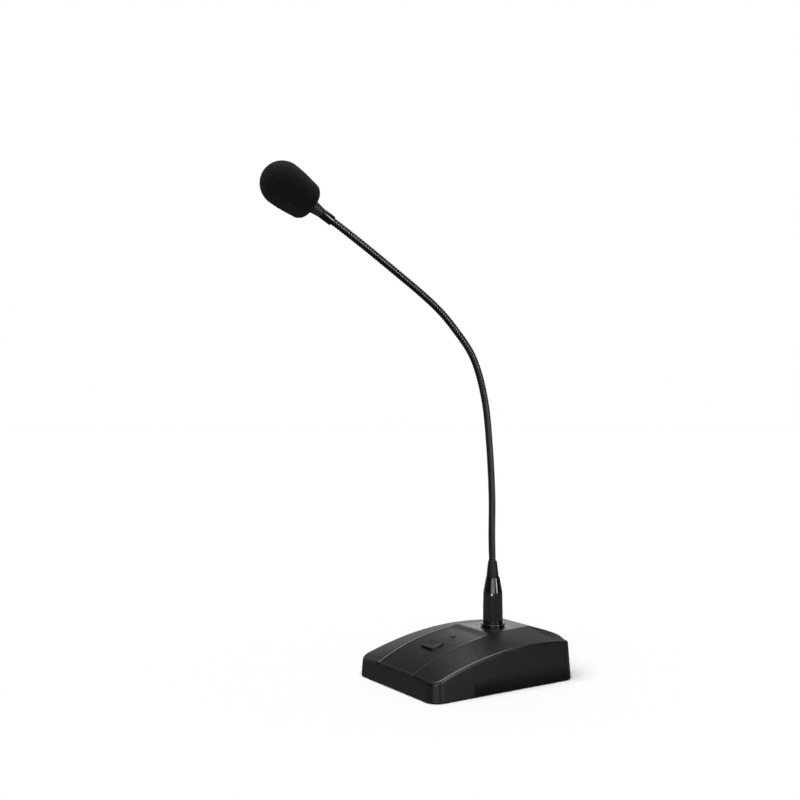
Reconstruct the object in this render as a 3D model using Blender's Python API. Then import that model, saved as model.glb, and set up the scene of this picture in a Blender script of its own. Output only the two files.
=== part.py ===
"""Gooseneck podium microphone on a weighted desk base.

Frame: metres, +Z up. The origin is the centre of the base plate's underside. The low front edge of
the base faces -Y, and the gooseneck leans over it in the plane x = 0. Every moving piece hangs from
an empty on its joint's axis.
"""

import math

import bmesh
import bpy
from mathutils import Matrix, Vector

MM = 0.001
TURN = 2.0 * math.pi
GAP = 0.0003  # clearance between pieces that touch

# Base
BASE_WIDTH = 0.1272
BASE_DEPTH = 0.1643
BASE_CORNER = 0.0120  # corner radius of the footprint
BASE_EDGE = 0.0025  # rounding of the top edge
BASE_WALL = 0.0025
WALL_DRAFT = 0.077  # inward lean of the outer walls, per unit of height
PANEL_DIP = 0.0007  # the centre panel lies this far below its borders
PANEL_DIP_REACH = 0.0100  # length over which it rises to them, at the front and at the plateau
PANEL_BEVEL = 0.0006  # half the width of each border
PANEL_HALF_FRONT = 0.0287  # half the centre panel's width at the front
PANEL_HALF_REAR = 0.0245  # and where it meets the plateau
PANEL_FALL = 0.145  # slope of the panel where it meets the plateau
PANEL_CURL = 18.3  # how fast the panel steepens towards the front
PLATEAU_Z = 0.0436
PLATEAU_FRONT = 0.0100
PLATEAU_REAR = 0.0610
PLATEAU_HALF_REAR = 0.0195
REAR_FALL = 0.15
REAR_RADIUS = 0.0360
EDGE_TOP_Y = 0.0340  # highest point of the walls' top edge
EDGE_TOP_Z = 0.0375
EDGE_FRONT_RADIUS = 0.302
EDGE_REAR_RADIUS = 0.340
FRONT_LIP = 0.0160  # least height of the walls, at the front
PLATE_THICKNESS = 0.0020
SCREW_X = 0.038
SCREW_Y = 0.062
BOSS_RADIUS = 0.0038
BOSS_BURIAL = 0.0023  # a boss ends this far under the top surface, inside the wall
FOOT_X = 0.052
FOOT_Y = 0.069
FOOT_DROP = 0.0012  # the feet stand this far below the base plate
FOOT_RADIUS = 0.0060
WEIGHT_SIZE = (0.088, 0.094, 0.010)
WEIGHT_Y = -0.006
BOARD_SIZE = (0.044, 0.056, 0.0016)
BOARD_Y = -0.034
BOARD_Z = 0.0165

# Button and indicator, both square to the sloping centre panel
BUTTON_Y = -0.0385
BUTTON_SIZE = (0.0190, 0.0145)
BUTTON_HEIGHT = 0.0052
BUTTON_PROUD = 0.0016
BUTTON_GAP = 0.0005
STEM_RADIUS = 0.0020
LED_Y = -0.0147
LED_RADIUS = 0.0015
BEZEL_RADIUS = 0.0025

# Socket in the plateau and the plug that stands in it
PLUG_Y = 0.0328
SOCKET_DEPTH = 0.0165  # below the plateau
SOCKET_BORE = 0.0098
SOCKET_OUTER = 0.0110
SOCKET_FLANGE = 0.0119
PLUG_OUTER = 0.0095
PLUG_BORE = 0.0082
PLUG_LIP_Z = PLATEAU_Z - 0.0135
PLUG_TAPER_Z = 0.0753
PLUG_TOP_Z = 0.0914
BOOT_TOP_Z = 0.1062
INSERT_RADIUS = 0.0078
PIN_CIRCLE = 0.0048
PIN_RADIUS = 0.0012
CONTACT_RADIUS = 0.0015
SET_SCREW_Z = 0.0747
SET_SCREW_ANGLE = math.radians(-44.5)  # about Z, from +X

# Gooseneck: the centreline in the plane x = 0, as (y, z)
NECK_RADIUS = 0.0035
NECK_BORE = 0.0021
CABLE_RADIUS = 0.0014
NECK_ROUTE = (
    (0.0326, 0.0957),
    (0.0316, 0.1301),
    (0.0318, 0.1683),
    (0.0290, 0.2153),
    (0.0231, 0.2612),
    (0.0102, 0.2995),
    (-0.0110, 0.3263),
    (-0.0385, 0.3509),
    (-0.0912, 0.3852),
    (-0.1327, 0.4105),
    (-0.1484, 0.4193),
)
NECK_START = 0.0105  # hidden in the boot, along the route
NECK_HIDDEN = 0.0045  # hidden in the collar, at the other end
PIVOTS = 8
PIVOT_GAP = 0.0009  # half the gap between two segments at their pivot

# Head, along its own axis from the gooseneck's end
HEAD_TILT = math.radians(29.3)  # above the horizontal, towards -Y
HEAD_BASE = (0.0, -0.1449, 0.4173)
COLLAR_LENGTH = 0.0122
CAPSULE_START = 0.0125
FOAM_START = 0.0236
FOAM_LENGTH = 0.0511
FOAM_RADIUS = 0.0194
FOAM_NECK_RADIUS = 0.0172

# Output connector in the rear wall
OUTPUT_Z = 0.0175
OUTPUT_TILT = math.atan(WALL_DRAFT)
OUTPUT_FLANGE = (0.026, 0.031, 0.0016)
OUTPUT_BARREL = 0.0110


# ---------------------------------------------------------------- scene helpers


def clear_scene():
    for obj in list(bpy.data.objects):
        bpy.data.objects.remove(obj, do_unlink=True)


def material(name, colour, roughness, metallic=0.0):
    found = bpy.data.materials.new(name)
    found.use_nodes = True
    shader = found.node_tree.nodes["Principled BSDF"]
    shader.inputs["Base Color"].default_value = (*colour, 1.0)
    shader.inputs["Roughness"].default_value = roughness
    shader.inputs["Metallic"].default_value = metallic
    return found


def joint_empty(name, place, parent=None):
    """An empty on a joint's axis, at a place in the world, under its parent joint."""
    empty = bpy.data.objects.new(name, None)
    bpy.context.collection.objects.link(empty)
    empty.empty_display_size = 0.01
    attach(empty, place, parent)
    return empty


def world_place(empty):
    """Where an empty stands: empties are only moved, never turned."""
    place = Vector((0.0, 0.0, 0.0))
    while empty:
        place += empty.location
        empty = empty.parent
    return place


def attach(obj, place, parent):
    obj.parent = parent
    obj.location = Vector(place) - world_place(parent)


def solid(name, bm, skin, parent=None, place=(0.0, 0.0, 0.0), rotation=(0.0, 0.0, 0.0)):
    """The object made of a closed bmesh, in its material and its place in the world."""
    bmesh.ops.remove_doubles(bm, verts=bm.verts, dist=1e-7)
    bmesh.ops.recalc_face_normals(bm, faces=bm.faces)
    mesh = bpy.data.meshes.new(name)
    bm.to_mesh(mesh)
    bm.free()
    mesh.shade_smooth()
    mesh.set_sharp_from_angle(angle=math.radians(35.0))
    obj = bpy.data.objects.new(name, mesh)
    bpy.context.collection.objects.link(obj)
    mesh.materials.append(skin)
    obj.rotation_euler = rotation
    attach(obj, place, parent)
    return obj


def cutter(name, bm, place=(0.0, 0.0, 0.0), rotation=(0.0, 0.0, 0.0), parent=None):
    obj = solid(name, bm, HELPER, parent, place, rotation)
    obj.hide_render = True
    obj.display_type = "WIRE"
    return obj


def boolean(obj, other, operation="DIFFERENCE"):
    step = obj.modifiers.new(operation.title(), "BOOLEAN")
    step.operation = operation
    step.solver = "EXACT"
    step.object = other


def bevel(obj, width, segments=2, angle=math.radians(40.0)):
    step = obj.modifiers.new("Bevel", "BEVEL")
    step.width = width
    step.segments = segments
    step.limit_method = "ANGLE"
    step.angle_limit = angle


# ---------------------------------------------------------------- shape helpers


def arc(centre, radius, start, end, count):
    """Points on an arc, as (radius, height) pairs, both ends included; angles in degrees."""
    points = []
    for i in range(count + 1):
        angle = math.radians(start + (end - start) * i / count)
        points.append((centre[0] + radius * math.cos(angle), centre[1] + radius * math.sin(angle)))
    return points


def turned(profile, steps=24):
    """The bmesh of a closed (radius, height) outline spun about Z."""
    bm = bmesh.new()
    verts = [bm.verts.new((radius, 0.0, height)) for radius, height in profile]
    ends = zip(verts, verts[1:] + verts[:1])
    edges = [bm.edges.new(pair) for pair in ends if pair[0].co.x > 0.0 or pair[1].co.x > 0.0]
    bmesh.ops.spin(
        bm,
        geom=verts + edges,
        cent=(0.0, 0.0, 0.0),
        axis=(0.0, 0.0, 1.0),
        angle=TURN,
        steps=steps,
        use_merge=True,
    )
    bmesh.ops.remove_doubles(bm, verts=bm.verts, dist=1e-7)
    bmesh.ops.dissolve_degenerate(bm, edges=bm.edges, dist=1e-7)
    return bm


def disc(radius, low, high, steps=24):
    return turned([(0.0, low), (radius, low), (radius, high), (0.0, high)], steps)


def tube(inner, outer, low, high, steps=24):
    return turned([(inner, low), (outer, low), (outer, high), (inner, high)], steps)


def block(size, centre=(0.0, 0.0, 0.0)):
    bm = bmesh.new()
    bmesh.ops.create_cube(bm, size=1.0, matrix=Matrix.Translation(centre) @ Matrix.Diagonal((*size, 1.0)))
    return bm


def rounded_block(size, radius, low, steps=4):
    """A block with upright rounded corners, its underside at the height low."""
    bm = bmesh.new()
    ring = []
    for quarter in range(4):
        sign_x = (1, -1, -1, 1)[quarter]
        sign_y = (1, 1, -1, -1)[quarter]
        corner = Vector((sign_x * (size[0] / 2 - radius), sign_y * (size[1] / 2 - radius), low))
        for i in range(steps + 1):
            angle = math.pi / 2 * (quarter + i / steps)
            ring.append(bm.verts.new(corner + radius * Vector((math.cos(angle), math.sin(angle), 0.0))))
    floor = bm.faces.new(ring)
    raised = bmesh.ops.extrude_face_region(bm, geom=[floor])["geom"]
    lifted = [item for item in raised if isinstance(item, bmesh.types.BMVert)]
    bmesh.ops.translate(bm, verts=lifted, vec=(0.0, 0.0, size[2]))
    return bm


def merged(*shapes):
    """Several bmeshes in one, as separate bodies of one cutter."""
    whole = bmesh.new()
    for bm in shapes:
        mesh = bpy.data.meshes.new("part of cutter")
        bmesh.ops.recalc_face_normals(bm, faces=bm.faces)
        bm.to_mesh(mesh)
        bm.free()
        whole.from_mesh(mesh)
        bpy.data.meshes.remove(mesh)
    return whole


def moved(bm, offset, rotation=Matrix.Identity(3)):
    bmesh.ops.transform(bm, matrix=Matrix.Translation(offset) @ rotation.to_4x4(), verts=bm.verts)
    return bm


# ---------------------------------------------------------------- base form


def side_edge_height(y):
    """Height of the walls' top edge: a long arc on either side of its highest point."""
    radius = EDGE_FRONT_RADIUS if y < EDGE_TOP_Y else EDGE_REAR_RADIUS
    return max(FRONT_LIP, EDGE_TOP_Z - (y - EDGE_TOP_Y) ** 2 / (2.0 * radius))


def border_height(y):
    """Height of the centre panel's borders, the plateau and the slope behind it."""
    if y > PLATEAU_REAR:
        back = y - PLATEAU_REAR
        return PLATEAU_Z - REAR_FALL * back - back**2 / (2.0 * REAR_RADIUS)
    front = min(0.0, y - PLATEAU_FRONT)
    return PLATEAU_Z + PANEL_FALL * front + PANEL_CURL * front**3


def panel_height(y):
    """Height of the centre panel, which lies a little below its borders."""
    inside = min(y + BASE_DEPTH / 2, PLATEAU_FRONT - y) / PANEL_DIP_REACH
    return border_height(y) - PANEL_DIP * max(0.0, min(1.0, inside))


def panel_slope(y):
    """Angle by which the centre panel rises towards the plateau."""
    return math.atan(PANEL_FALL + 3.0 * PANEL_CURL * (y - PLATEAU_FRONT) ** 2)


def panel_half_width(y, limit):
    """Half the width of the centre: it narrows at the plateau, and widens again behind it."""
    if y < PLATEAU_FRONT:
        reach = (PLATEAU_FRONT - y) / (PLATEAU_FRONT + BASE_DEPTH / 2)
        return PANEL_HALF_FRONT - (PANEL_HALF_FRONT - PANEL_HALF_REAR) * (1.0 - reach) ** 8
    if y < PLATEAU_REAR:
        reach = (y - PLATEAU_FRONT) / (PLATEAU_REAR - PLATEAU_FRONT)
        return PANEL_HALF_REAR + (PLATEAU_HALF_REAR - PANEL_HALF_REAR) * reach
    reach = (y - PLATEAU_REAR) / (BASE_DEPTH / 2 - PLATEAU_REAR)
    return PLATEAU_HALF_REAR + (limit - PLATEAU_HALF_REAR) * reach


def top_height(x, y, crease, half_width):
    """Height of the top surface: flat centre, narrow border, then a slope down to the wall."""
    if abs(x) <= crease - PANEL_BEVEL:
        return panel_height(y)
    border = border_height(y)
    side = min(side_edge_height(y), border)
    reach = (abs(x) - crease - PANEL_BEVEL) / (half_width - crease - PANEL_BEVEL)
    return border + (side - border) * max(0.0, reach)


def base_rows(inset, steps):
    """One row for each station along Y: the y, the half width there and the height at its end."""
    core_x = BASE_WIDTH / 2 - BASE_CORNER
    core_y = BASE_DEPTH / 2 - BASE_CORNER
    stations = [-0.058, -0.046, -0.034, -0.022, -0.010, 0.0, PLATEAU_FRONT]
    stations += [0.020, 0.034, 0.048, PLATEAU_REAR, 0.0655]
    turns = [math.pi / 2 * i / steps for i in range(steps + 1)]
    rows = [(-core_y, -angle) for angle in reversed(turns)]
    rows += [(y, 0.0) for y in stations]
    rows += [(core_y, angle) for angle in turns]
    result = []
    for y, angle in rows:
        height = side_edge_height(y + 0.7 * BASE_CORNER * math.sin(angle))
        radius = BASE_CORNER - inset - WALL_DRAFT * height
        row_y = y + radius * math.sin(angle)
        result.append((row_y, core_x + radius * math.cos(angle)))
    return result


def base_grid(inset, drop, steps):
    """Rows of points over the top surface, from the front row to the rear one."""
    grid = []
    for y, half_width in base_rows(inset, steps):
        crease = min(panel_half_width(y, half_width), half_width - 3 * PANEL_BEVEL)
        outer = half_width - crease - PANEL_BEVEL
        right = [0.5 * crease, crease - PANEL_BEVEL, crease + PANEL_BEVEL]
        right += [crease + PANEL_BEVEL + outer * part for part in (0.35, 0.7, 1.0)]
        xs = [-x for x in reversed(right)] + [0.0] + right
        grid.append([Vector((x, y, top_height(x, y, crease, half_width) - drop)) for x in xs])
    return grid


def outward(point):
    """Outward direction of the footprint's outline at a point on it."""
    core_x = BASE_WIDTH / 2 - BASE_CORNER
    core_y = BASE_DEPTH / 2 - BASE_CORNER
    near = Vector((max(-core_x, min(core_x, point.x)), max(-core_y, min(core_y, point.y)), 0.0))
    return (Vector((point.x, point.y, 0.0)) - near).normalized()


def base_form(inset, drop, edge, foot, steps=4):
    """The closed form of the base: its top grid, a rounded edge and walls down to the height foot."""
    bm = bmesh.new()
    grid = [[bm.verts.new(point) for point in row] for row in base_grid(inset + edge, drop, steps)]
    for low, high in zip(grid, grid[1:]):
        for i in range(len(low) - 1):
            bm.faces.new((low[i], low[i + 1], high[i + 1], high[i]))
    rim = grid[0] + [row[-1] for row in grid[1:]] + grid[-1][-2::-1] + [row[0] for row in grid[-2:0:-1]]
    rings = [rim]
    turns = [math.radians(angle) for angle in (30.0, 60.0, 90.0)] if edge else []
    for angle in turns:
        out = edge * math.sin(angle)
        down = edge * (1.0 - math.cos(angle))
        rings.append([bm.verts.new(v.co + outward(v.co) * out - Vector((0, 0, down))) for v in rim])
    foot_ring = []
    for v in rings[-1]:
        out = outward(v.co) * WALL_DRAFT * (v.co.z - foot)
        foot_ring.append(bm.verts.new((v.co.x + out.x, v.co.y + out.y, foot)))
    rings.append(foot_ring)
    for upper, lower in zip(rings, rings[1:]):
        for i in range(len(upper)):
            j = (i + 1) % len(upper)
            bm.faces.new((upper[i], lower[i], lower[j], upper[j]))
    bm.faces.new(foot_ring)
    return bm


def corners(x, y):
    return [(sx * x, sy * y) for sx in (-1, 1) for sy in (-1, 1)]


# ---------------------------------------------------------------- base pieces


def screw_boss(x, y):
    """A post from inside the sloping ceiling down to the base plate."""
    half_width = BASE_WIDTH / 2 - WALL_DRAFT * side_edge_height(y)
    crease = panel_half_width(y, half_width)
    low = PLATE_THICKNESS + GAP
    high = top_height(x, y, crease, half_width) - BOSS_BURIAL
    return moved(disc(BOSS_RADIUS, low, high, 16), (x, y, 0.0))


def panel_frame(y, lift=0.0):
    """Place and rotation of a piece that stands square to the centre panel."""
    tilt = panel_slope(y)
    normal = Vector((0.0, -math.sin(tilt), math.cos(tilt)))
    return Vector((0.0, y, panel_height(y))) + normal * lift, (tilt, 0.0, 0.0)


def make_housing():
    housing = solid("base_housing", base_form(0.0, 0.0, BASE_EDGE, 0.0), PLASTIC)
    boolean(housing, cutter("cut_cavity", base_form(BASE_WALL, BASE_WALL, 0.0, -0.001)))
    bosses = merged(*[screw_boss(x, y) for x, y in corners(SCREW_X, SCREW_Y)])
    boolean(housing, cutter("add_bosses", bosses), "UNION")
    pilots = [moved(disc(0.0017, 0.0, 0.0125, 12), (x, y, 0.0)) for x, y in corners(SCREW_X, SCREW_Y)]
    socket = moved(disc(SOCKET_OUTER + GAP, 0.030, 0.055, 32), (0.0, PLUG_Y, 0.0))
    boolean(housing, cutter("cut_upright_holes", merged(socket, *pilots)))
    hole = (BUTTON_SIZE[0] + 2 * BUTTON_GAP, BUTTON_SIZE[1] + 2 * BUTTON_GAP, 0.016)
    place, rotation = panel_frame(BUTTON_Y)
    boolean(housing, cutter("cut_button", rounded_block(hole, 0.0030, -0.008), place, rotation))
    place, rotation = panel_frame(LED_Y)
    boolean(housing, cutter("cut_led", disc(BEZEL_RADIUS + GAP, -0.008, 0.008, 16), place, rotation))
    place, rotation = output_frame()
    holes = [disc(OUTPUT_BARREL + GAP, -0.008, 0.006, 32)]
    holes += [moved(disc(0.0017, -0.008, 0.006, 12), (x, y, 0.0)) for x, y in output_screw_places()]
    boolean(housing, cutter("cut_output", merged(*holes), place, rotation))


def make_base_plate():
    inset = BASE_WALL + 2 * GAP
    size = (BASE_WIDTH - 2 * inset, BASE_DEPTH - 2 * inset, PLATE_THICKNESS)
    plate = solid("base_plate", rounded_block(size, BASE_CORNER - inset, 0.0), STEEL_BLACK)
    screws = corners(SCREW_X, SCREW_Y)
    feet = corners(FOOT_X, FOOT_Y)
    heads = [moved(disc(0.0033, -0.001, 0.0013, 16), (x, y, 0.0)) for x, y in screws]
    boolean(plate, cutter("cut_screw_heads", merged(*heads)))
    shanks = [moved(disc(0.0018, 0.0005, 0.004, 12), (x, y, 0.0)) for x, y in screws]
    boolean(plate, cutter("cut_screw_shanks", merged(*shanks)))
    pockets = [moved(disc(FOOT_RADIUS + GAP, -0.001, 0.0009, 20), (x, y, 0.0)) for x, y in feet]
    boolean(plate, cutter("cut_foot_pockets", merged(*pockets)))


def make_feet_and_screws():
    for i, (x, y) in enumerate(corners(FOOT_X, FOOT_Y), 1):
        profile = [(0.0, -FOOT_DROP), (FOOT_RADIUS - 0.0006, -FOOT_DROP)]
        profile += [(FOOT_RADIUS, -FOOT_DROP + 0.0006), (FOOT_RADIUS, 0.0006), (0.0, 0.0006)]
        solid(f"rubber_foot_{i}", turned(profile, 20), RUBBER, None, (x, y, 0.0))
    for i, (x, y) in enumerate(corners(SCREW_X, SCREW_Y), 1):
        profile = [(0.0, 0.0002), (0.0028, 0.0002), (0.0028, 0.0011), (0.0014, 0.0011)]
        profile += [(0.0014, 0.0110), (0.0, 0.0115)]
        solid(f"base_screw_{i}", turned(profile, 12), SCREW_STEEL, None, (x, y, 0.0))


def make_weight():
    form = rounded_block(WEIGHT_SIZE, 0.004, PLATE_THICKNESS + GAP, 2)
    weight = solid("ballast_weight", form, CAST_IRON, None, (0.0, WEIGHT_Y, 0.0))
    bevel(weight, 0.0006, 1)


def make_electronics():
    top = BOARD_Z + BOARD_SIZE[2]
    board = rounded_block(BOARD_SIZE, 0.0015, 0.0, 2)
    solid("circuit_board", board, BOARD_GREEN, None, (0.0, BOARD_Y, BOARD_Z))
    capacitor = [(0.0, 0.0), (0.0025, 0.0), (0.0025, 0.0100), (0.0021, 0.0106), (0.0, 0.0106)]
    solid("capacitor", turned(capacitor, 16), CAPACITOR, None, (0.0150, -0.0150, top + GAP))
    coil = block((0.0130, 0.0110, 0.0100), (0.0, 0.0, 0.0050))
    transformer = solid("audio_transformer", coil, CAST_IRON, None, (-0.0120, -0.0180, top + GAP))
    bevel(transformer, 0.0008, 1)



def make_switch():
    place, rotation = panel_frame(BUTTON_Y)
    bottom = BOARD_Z + BOARD_SIZE[2] + 0.0035 - place.z
    body = block((0.0120, 0.0120, 0.0060), (0.0, 0.0, bottom + 0.0030))
    switch = solid("switch_body", body, PLASTIC_DARK, None, place, rotation)
    well = disc(STEM_RADIUS + GAP, bottom + 0.0015, bottom + 0.0080, 16)
    boolean(switch, cutter("cut_plunger_well", well, place, rotation))


def make_button(joint):
    place, rotation = panel_frame(BUTTON_Y)
    size = (*BUTTON_SIZE, BUTTON_HEIGHT)
    cap = rounded_block(size, 0.0025, BUTTON_PROUD - BUTTON_HEIGHT)
    button = solid("switch_button", cap, PLASTIC_BUTTON, joint, place, rotation)
    stem = disc(STEM_RADIUS, -0.0085, BUTTON_PROUD - BUTTON_HEIGHT + 0.0015, 16)
    boolean(button, cutter("add_button_stem", stem, place, rotation, joint), "UNION")


def make_led():
    place, rotation = panel_frame(LED_Y)
    bezel = [(LED_RADIUS + 0.0001, -0.0040), (BEZEL_RADIUS, -0.0040), (BEZEL_RADIUS, 0.0002)]
    bezel += [(BEZEL_RADIUS - 0.0003, 0.0005), (LED_RADIUS + 0.0001, 0.0005)]
    solid("led_bezel", turned(bezel, 20), PLASTIC_DARK, None, place, rotation)
    radius = LED_RADIUS - 0.0001
    lens = [(0.0, -0.0060), (radius, -0.0060)] + arc((0.0, 0.0002), radius, 0.0, 90.0, 3)
    lens[-1] = (0.0, 0.0002 + radius)
    solid("led_lens", turned(lens, 16), LED_RED, None, place, rotation)


# ---------------------------------------------------------------- connectors


def pin_places():
    """The three contacts of the plug, at 60, 180 and 300 degrees about its axis."""
    angles = [math.radians(angle) for angle in (60.0, 180.0, 300.0)]
    return [(PIN_CIRCLE * math.cos(angle), PIN_CIRCLE * math.sin(angle)) for angle in angles]


def make_socket():
    top = PLATEAU_Z
    collar = [(SOCKET_BORE, top - SOCKET_DEPTH), (SOCKET_OUTER, top - SOCKET_DEPTH)]
    collar += [(SOCKET_OUTER, top + GAP), (0.0104, top + GAP), (0.0104, top + 0.0013)]
    collar += [(SOCKET_FLANGE, top + 0.0015), (SOCKET_FLANGE, top + 0.0024)]
    collar += [(0.0110, top + 0.0028), (SOCKET_BORE, top + 0.0028)]
    collar_object = solid("socket_collar", turned(collar, 32), METAL_BLACK, None, (0.0, PLUG_Y, 0.0))
    cap = disc(SOCKET_BORE + 0.0004, top - SOCKET_DEPTH - 0.0020, top - SOCKET_DEPTH + 0.0008, 32)
    boolean(collar_object, cutter("add_socket_floor", cap, (0.0, PLUG_Y, 0.0)), "UNION")
    low = top - SOCKET_DEPTH + 0.0008 + GAP
    insert = disc(INSERT_RADIUS, low, top - 0.0010, 24)
    insert_object = solid("socket_insert", insert, PLASTIC_DARK, None, (0.0, PLUG_Y, 0.0))
    holes = [moved(disc(CONTACT_RADIUS, low + 0.0010, top + 0.005, 12), (x, y, 0)) for x, y in pin_places()]
    boolean(insert_object, cutter("cut_contacts", merged(*holes), (0.0, PLUG_Y, 0.0)))


def make_plug(joint):
    place = (0.0, PLUG_Y, 0.0)
    shell = [(PLUG_BORE, PLUG_LIP_Z), (PLUG_OUTER, PLUG_LIP_Z), (PLUG_OUTER, PLUG_TAPER_Z)]
    shell += [(0.0092, PLUG_TAPER_Z + 0.0012), (0.0066, PLUG_TOP_Z - 0.0012), (0.0060, PLUG_TOP_Z)]
    shell += [(0.0040, PLUG_TOP_Z), (0.0040, PLUG_TOP_Z - 0.0060), (PLUG_BORE, PLUG_TAPER_Z - 0.0020)]
    body = solid("plug_shell", turned(shell, 32), METAL_BLACK, joint, place)
    outwards = Matrix.Rotation(math.radians(90.0), 3, "Y")
    turn = Matrix.Rotation(SET_SCREW_ANGLE, 3, "Z") @ outwards
    hole = moved(disc(0.0016, 0.0070, 0.0110, 16), (0.0, 0.0, SET_SCREW_Z), turn)
    boolean(body, cutter("cut_set_screw", hole, place, parent=joint))
    screw = moved(disc(0.00125, 0.0068, 0.0093, 16), (0.0, 0.0, SET_SCREW_Z), turn)
    solid("plug_set_screw", screw, CHROME, joint, place)
    low = PLATEAU_Z
    insert = disc(PLUG_BORE - GAP, low, low + 0.0080, 24)
    insert_object = solid("plug_insert", insert, PLASTIC_DARK, joint, place)
    seat = (PIN_RADIUS + GAP, low - 0.001, low + 0.009, 12)
    holes = [moved(disc(*seat), (x, y, 0.0)) for x, y in pin_places()]
    boolean(insert_object, cutter("cut_plug_pins", merged(*holes), place, parent=joint))
    for i, (x, y) in enumerate(pin_places(), 1):
        pin = [(0.0, low - 0.0130), (PIN_RADIUS * 0.6, low - 0.0128), (PIN_RADIUS, low - 0.0118)]
        pin += [(PIN_RADIUS, low + 0.0110), (0.0, low + 0.0110)]
        solid(f"plug_pin_{i}", turned(pin, 12), BRASS, joint, (x, PLUG_Y + y, 0.0))
    clear = NECK_RADIUS + GAP
    boot = [(clear, PLUG_TOP_Z + GAP), (0.0058, PLUG_TOP_Z + GAP), (0.0056, PLUG_TOP_Z + 0.0030)]
    boot += [(0.0044, BOOT_TOP_Z - 0.0006), (0.0041, BOOT_TOP_Z), (clear, BOOT_TOP_Z)]
    solid("plug_boot", turned(boot, 24), RUBBER, joint, (0.0, NECK_ROUTE[0][0] - 0.00015, 0.0))


def output_frame():
    """Place and rotation of the output connector: its Z axis points out of the rear wall."""
    y = BASE_DEPTH / 2 - WALL_DRAFT * OUTPUT_Z
    return (0.0, y, OUTPUT_Z), (-math.pi / 2 + OUTPUT_TILT, 0.0, 0.0)


def output_screw_places():
    return [(-0.0095, 0.0120), (0.0095, -0.0120)]


def make_output():
    place, rotation = output_frame()
    flange = rounded_block((*OUTPUT_FLANGE[:2], OUTPUT_FLANGE[2]), 0.003, GAP)
    shell = solid("output_shell", flange, METAL_BLACK, None, place, rotation)
    barrel = disc(OUTPUT_BARREL, -0.0170, 0.0010, 32)
    boolean(shell, cutter("add_output_barrel", barrel, place, rotation), "UNION")
    bore = disc(0.0082, -0.0150, 0.0050, 32)
    boolean(shell, cutter("cut_output_bore", bore, place, rotation))
    holes = [moved(disc(0.0017, -0.001, 0.005, 12), (x, y, 0.0)) for x, y in output_screw_places()]
    boolean(shell, cutter("cut_output_screws", merged(*holes), place, rotation))
    insert = solid("output_insert", disc(0.0079, -0.0147, -0.0117, 24), PLASTIC_DARK, None, place, rotation)
    seats = [moved(disc(PIN_RADIUS + GAP, -0.020, -0.010, 12), (x, y, 0.0)) for x, y in pin_places()]
    boolean(insert, cutter("cut_output_pins", merged(*seats), place, rotation))
    for i, (x, y) in enumerate(pin_places(), 1):
        pin = [(0.0, -0.0145), (PIN_RADIUS, -0.0145), (PIN_RADIUS, -0.0022)]
        pin += [(PIN_RADIUS * 0.6, -0.0012), (0.0, -0.0010)]
        solid(f"output_pin_{i}", moved(turned(pin, 12), (x, y, 0.0)), CHROME, None, place, rotation)
    for i, (x, y) in enumerate(output_screw_places(), 1):
        low = OUTPUT_FLANGE[2] + 2 * GAP
        screw = [(0.0, -0.0060), (0.0013, -0.0060), (0.0013, low), (0.0026, low), (0.0024, low + 0.0010)]
        screw += [(0.0014, low + 0.0015), (0.0, low + 0.0016)]
        form = moved(turned(screw, 12), (x, y, 0.0))
        solid(f"output_screw_{i}", form, SCREW_STEEL, None, place, rotation)


# ---------------------------------------------------------------- gooseneck


def route_point(index, part):
    """A point on the smooth curve through the gooseneck's route."""
    points = [Vector((0.0, y, z)) for y, z in NECK_ROUTE]
    points = [2 * points[0] - points[1]] + points + [2 * points[-1] - points[-2]]
    a, b, c, d = points[index : index + 4]
    bend = (2 * a - 5 * b + 4 * c - d) * part**2
    twist = (3 * b - a - 3 * c + d) * part**3
    return 0.5 * (2 * b + (c - a) * part + bend + twist)


def measured_route(steps=40):
    """Points along the gooseneck, each with its distance from the start."""
    points = [route_point(i, j / steps) for i in range(len(NECK_ROUTE) - 1) for j in range(steps)]
    points.append(route_point(len(NECK_ROUTE) - 2, 1.0))
    measured = [(0.0, points[0])]
    for point in points[1:]:
        measured.append((measured[-1][0] + (point - measured[-1][1]).length, point))
    return measured


def neck_at(distance):
    """Centre and direction of the gooseneck at a distance along it."""
    for (near, start), (far, end) in zip(ROUTE, ROUTE[1:]):
        if distance <= far:
            break
    part = (distance - near) / (far - near)
    return start.lerp(end, part), (end - start).normalized()


def swept(outer, inner, start, end, origin, steps, sides):
    """A tube along the gooseneck from start to end, about the origin; solid if inner is 0."""
    bm = bmesh.new()
    rings = {outer: [], inner: []}
    for i in range(steps + 1):
        centre, direction = neck_at(start + (end - start) * i / steps)
        across = Vector((1.0, 0.0, 0.0))
        up = direction.cross(across)
        for radius in rings:
            if not radius:
                continue
            ring = []
            for j in range(sides):
                angle = TURN * j / sides
                spoke = across * math.cos(angle) + up * math.sin(angle)
                ring.append(bm.verts.new(centre + spoke * radius - origin))
            rings[radius].append(ring)
    for sheet in rings.values():
        for low, high in zip(sheet, sheet[1:]):
            join(bm, low, high)
    for end_ring in (0, -1):
        if inner:
            join(bm, rings[outer][end_ring], rings[inner][end_ring])
        else:
            bm.faces.new(rings[outer][end_ring])
    return bm


def join(bm, low, high):
    for i in range(len(low)):
        j = (i + 1) % len(low)
        bm.faces.new((low[i], low[j], high[j], high[i]))


def pivot_distances():
    """Where the gooseneck's pivots lie along it, evenly spread over its visible length."""
    first = NECK_START
    last = ROUTE[-1][0] - NECK_HIDDEN
    return [first + (last - first) * (i + 0.5) / PIVOTS for i in range(PIVOTS)]


def make_neck_joints(plug):
    joints = [plug]
    for i, distance in enumerate(pivot_distances(), 1):
        centre, _ = neck_at(distance)
        joints.append(joint_empty(f"neck_pivot_{i}", centre, joints[-1]))
    return joints


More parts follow.
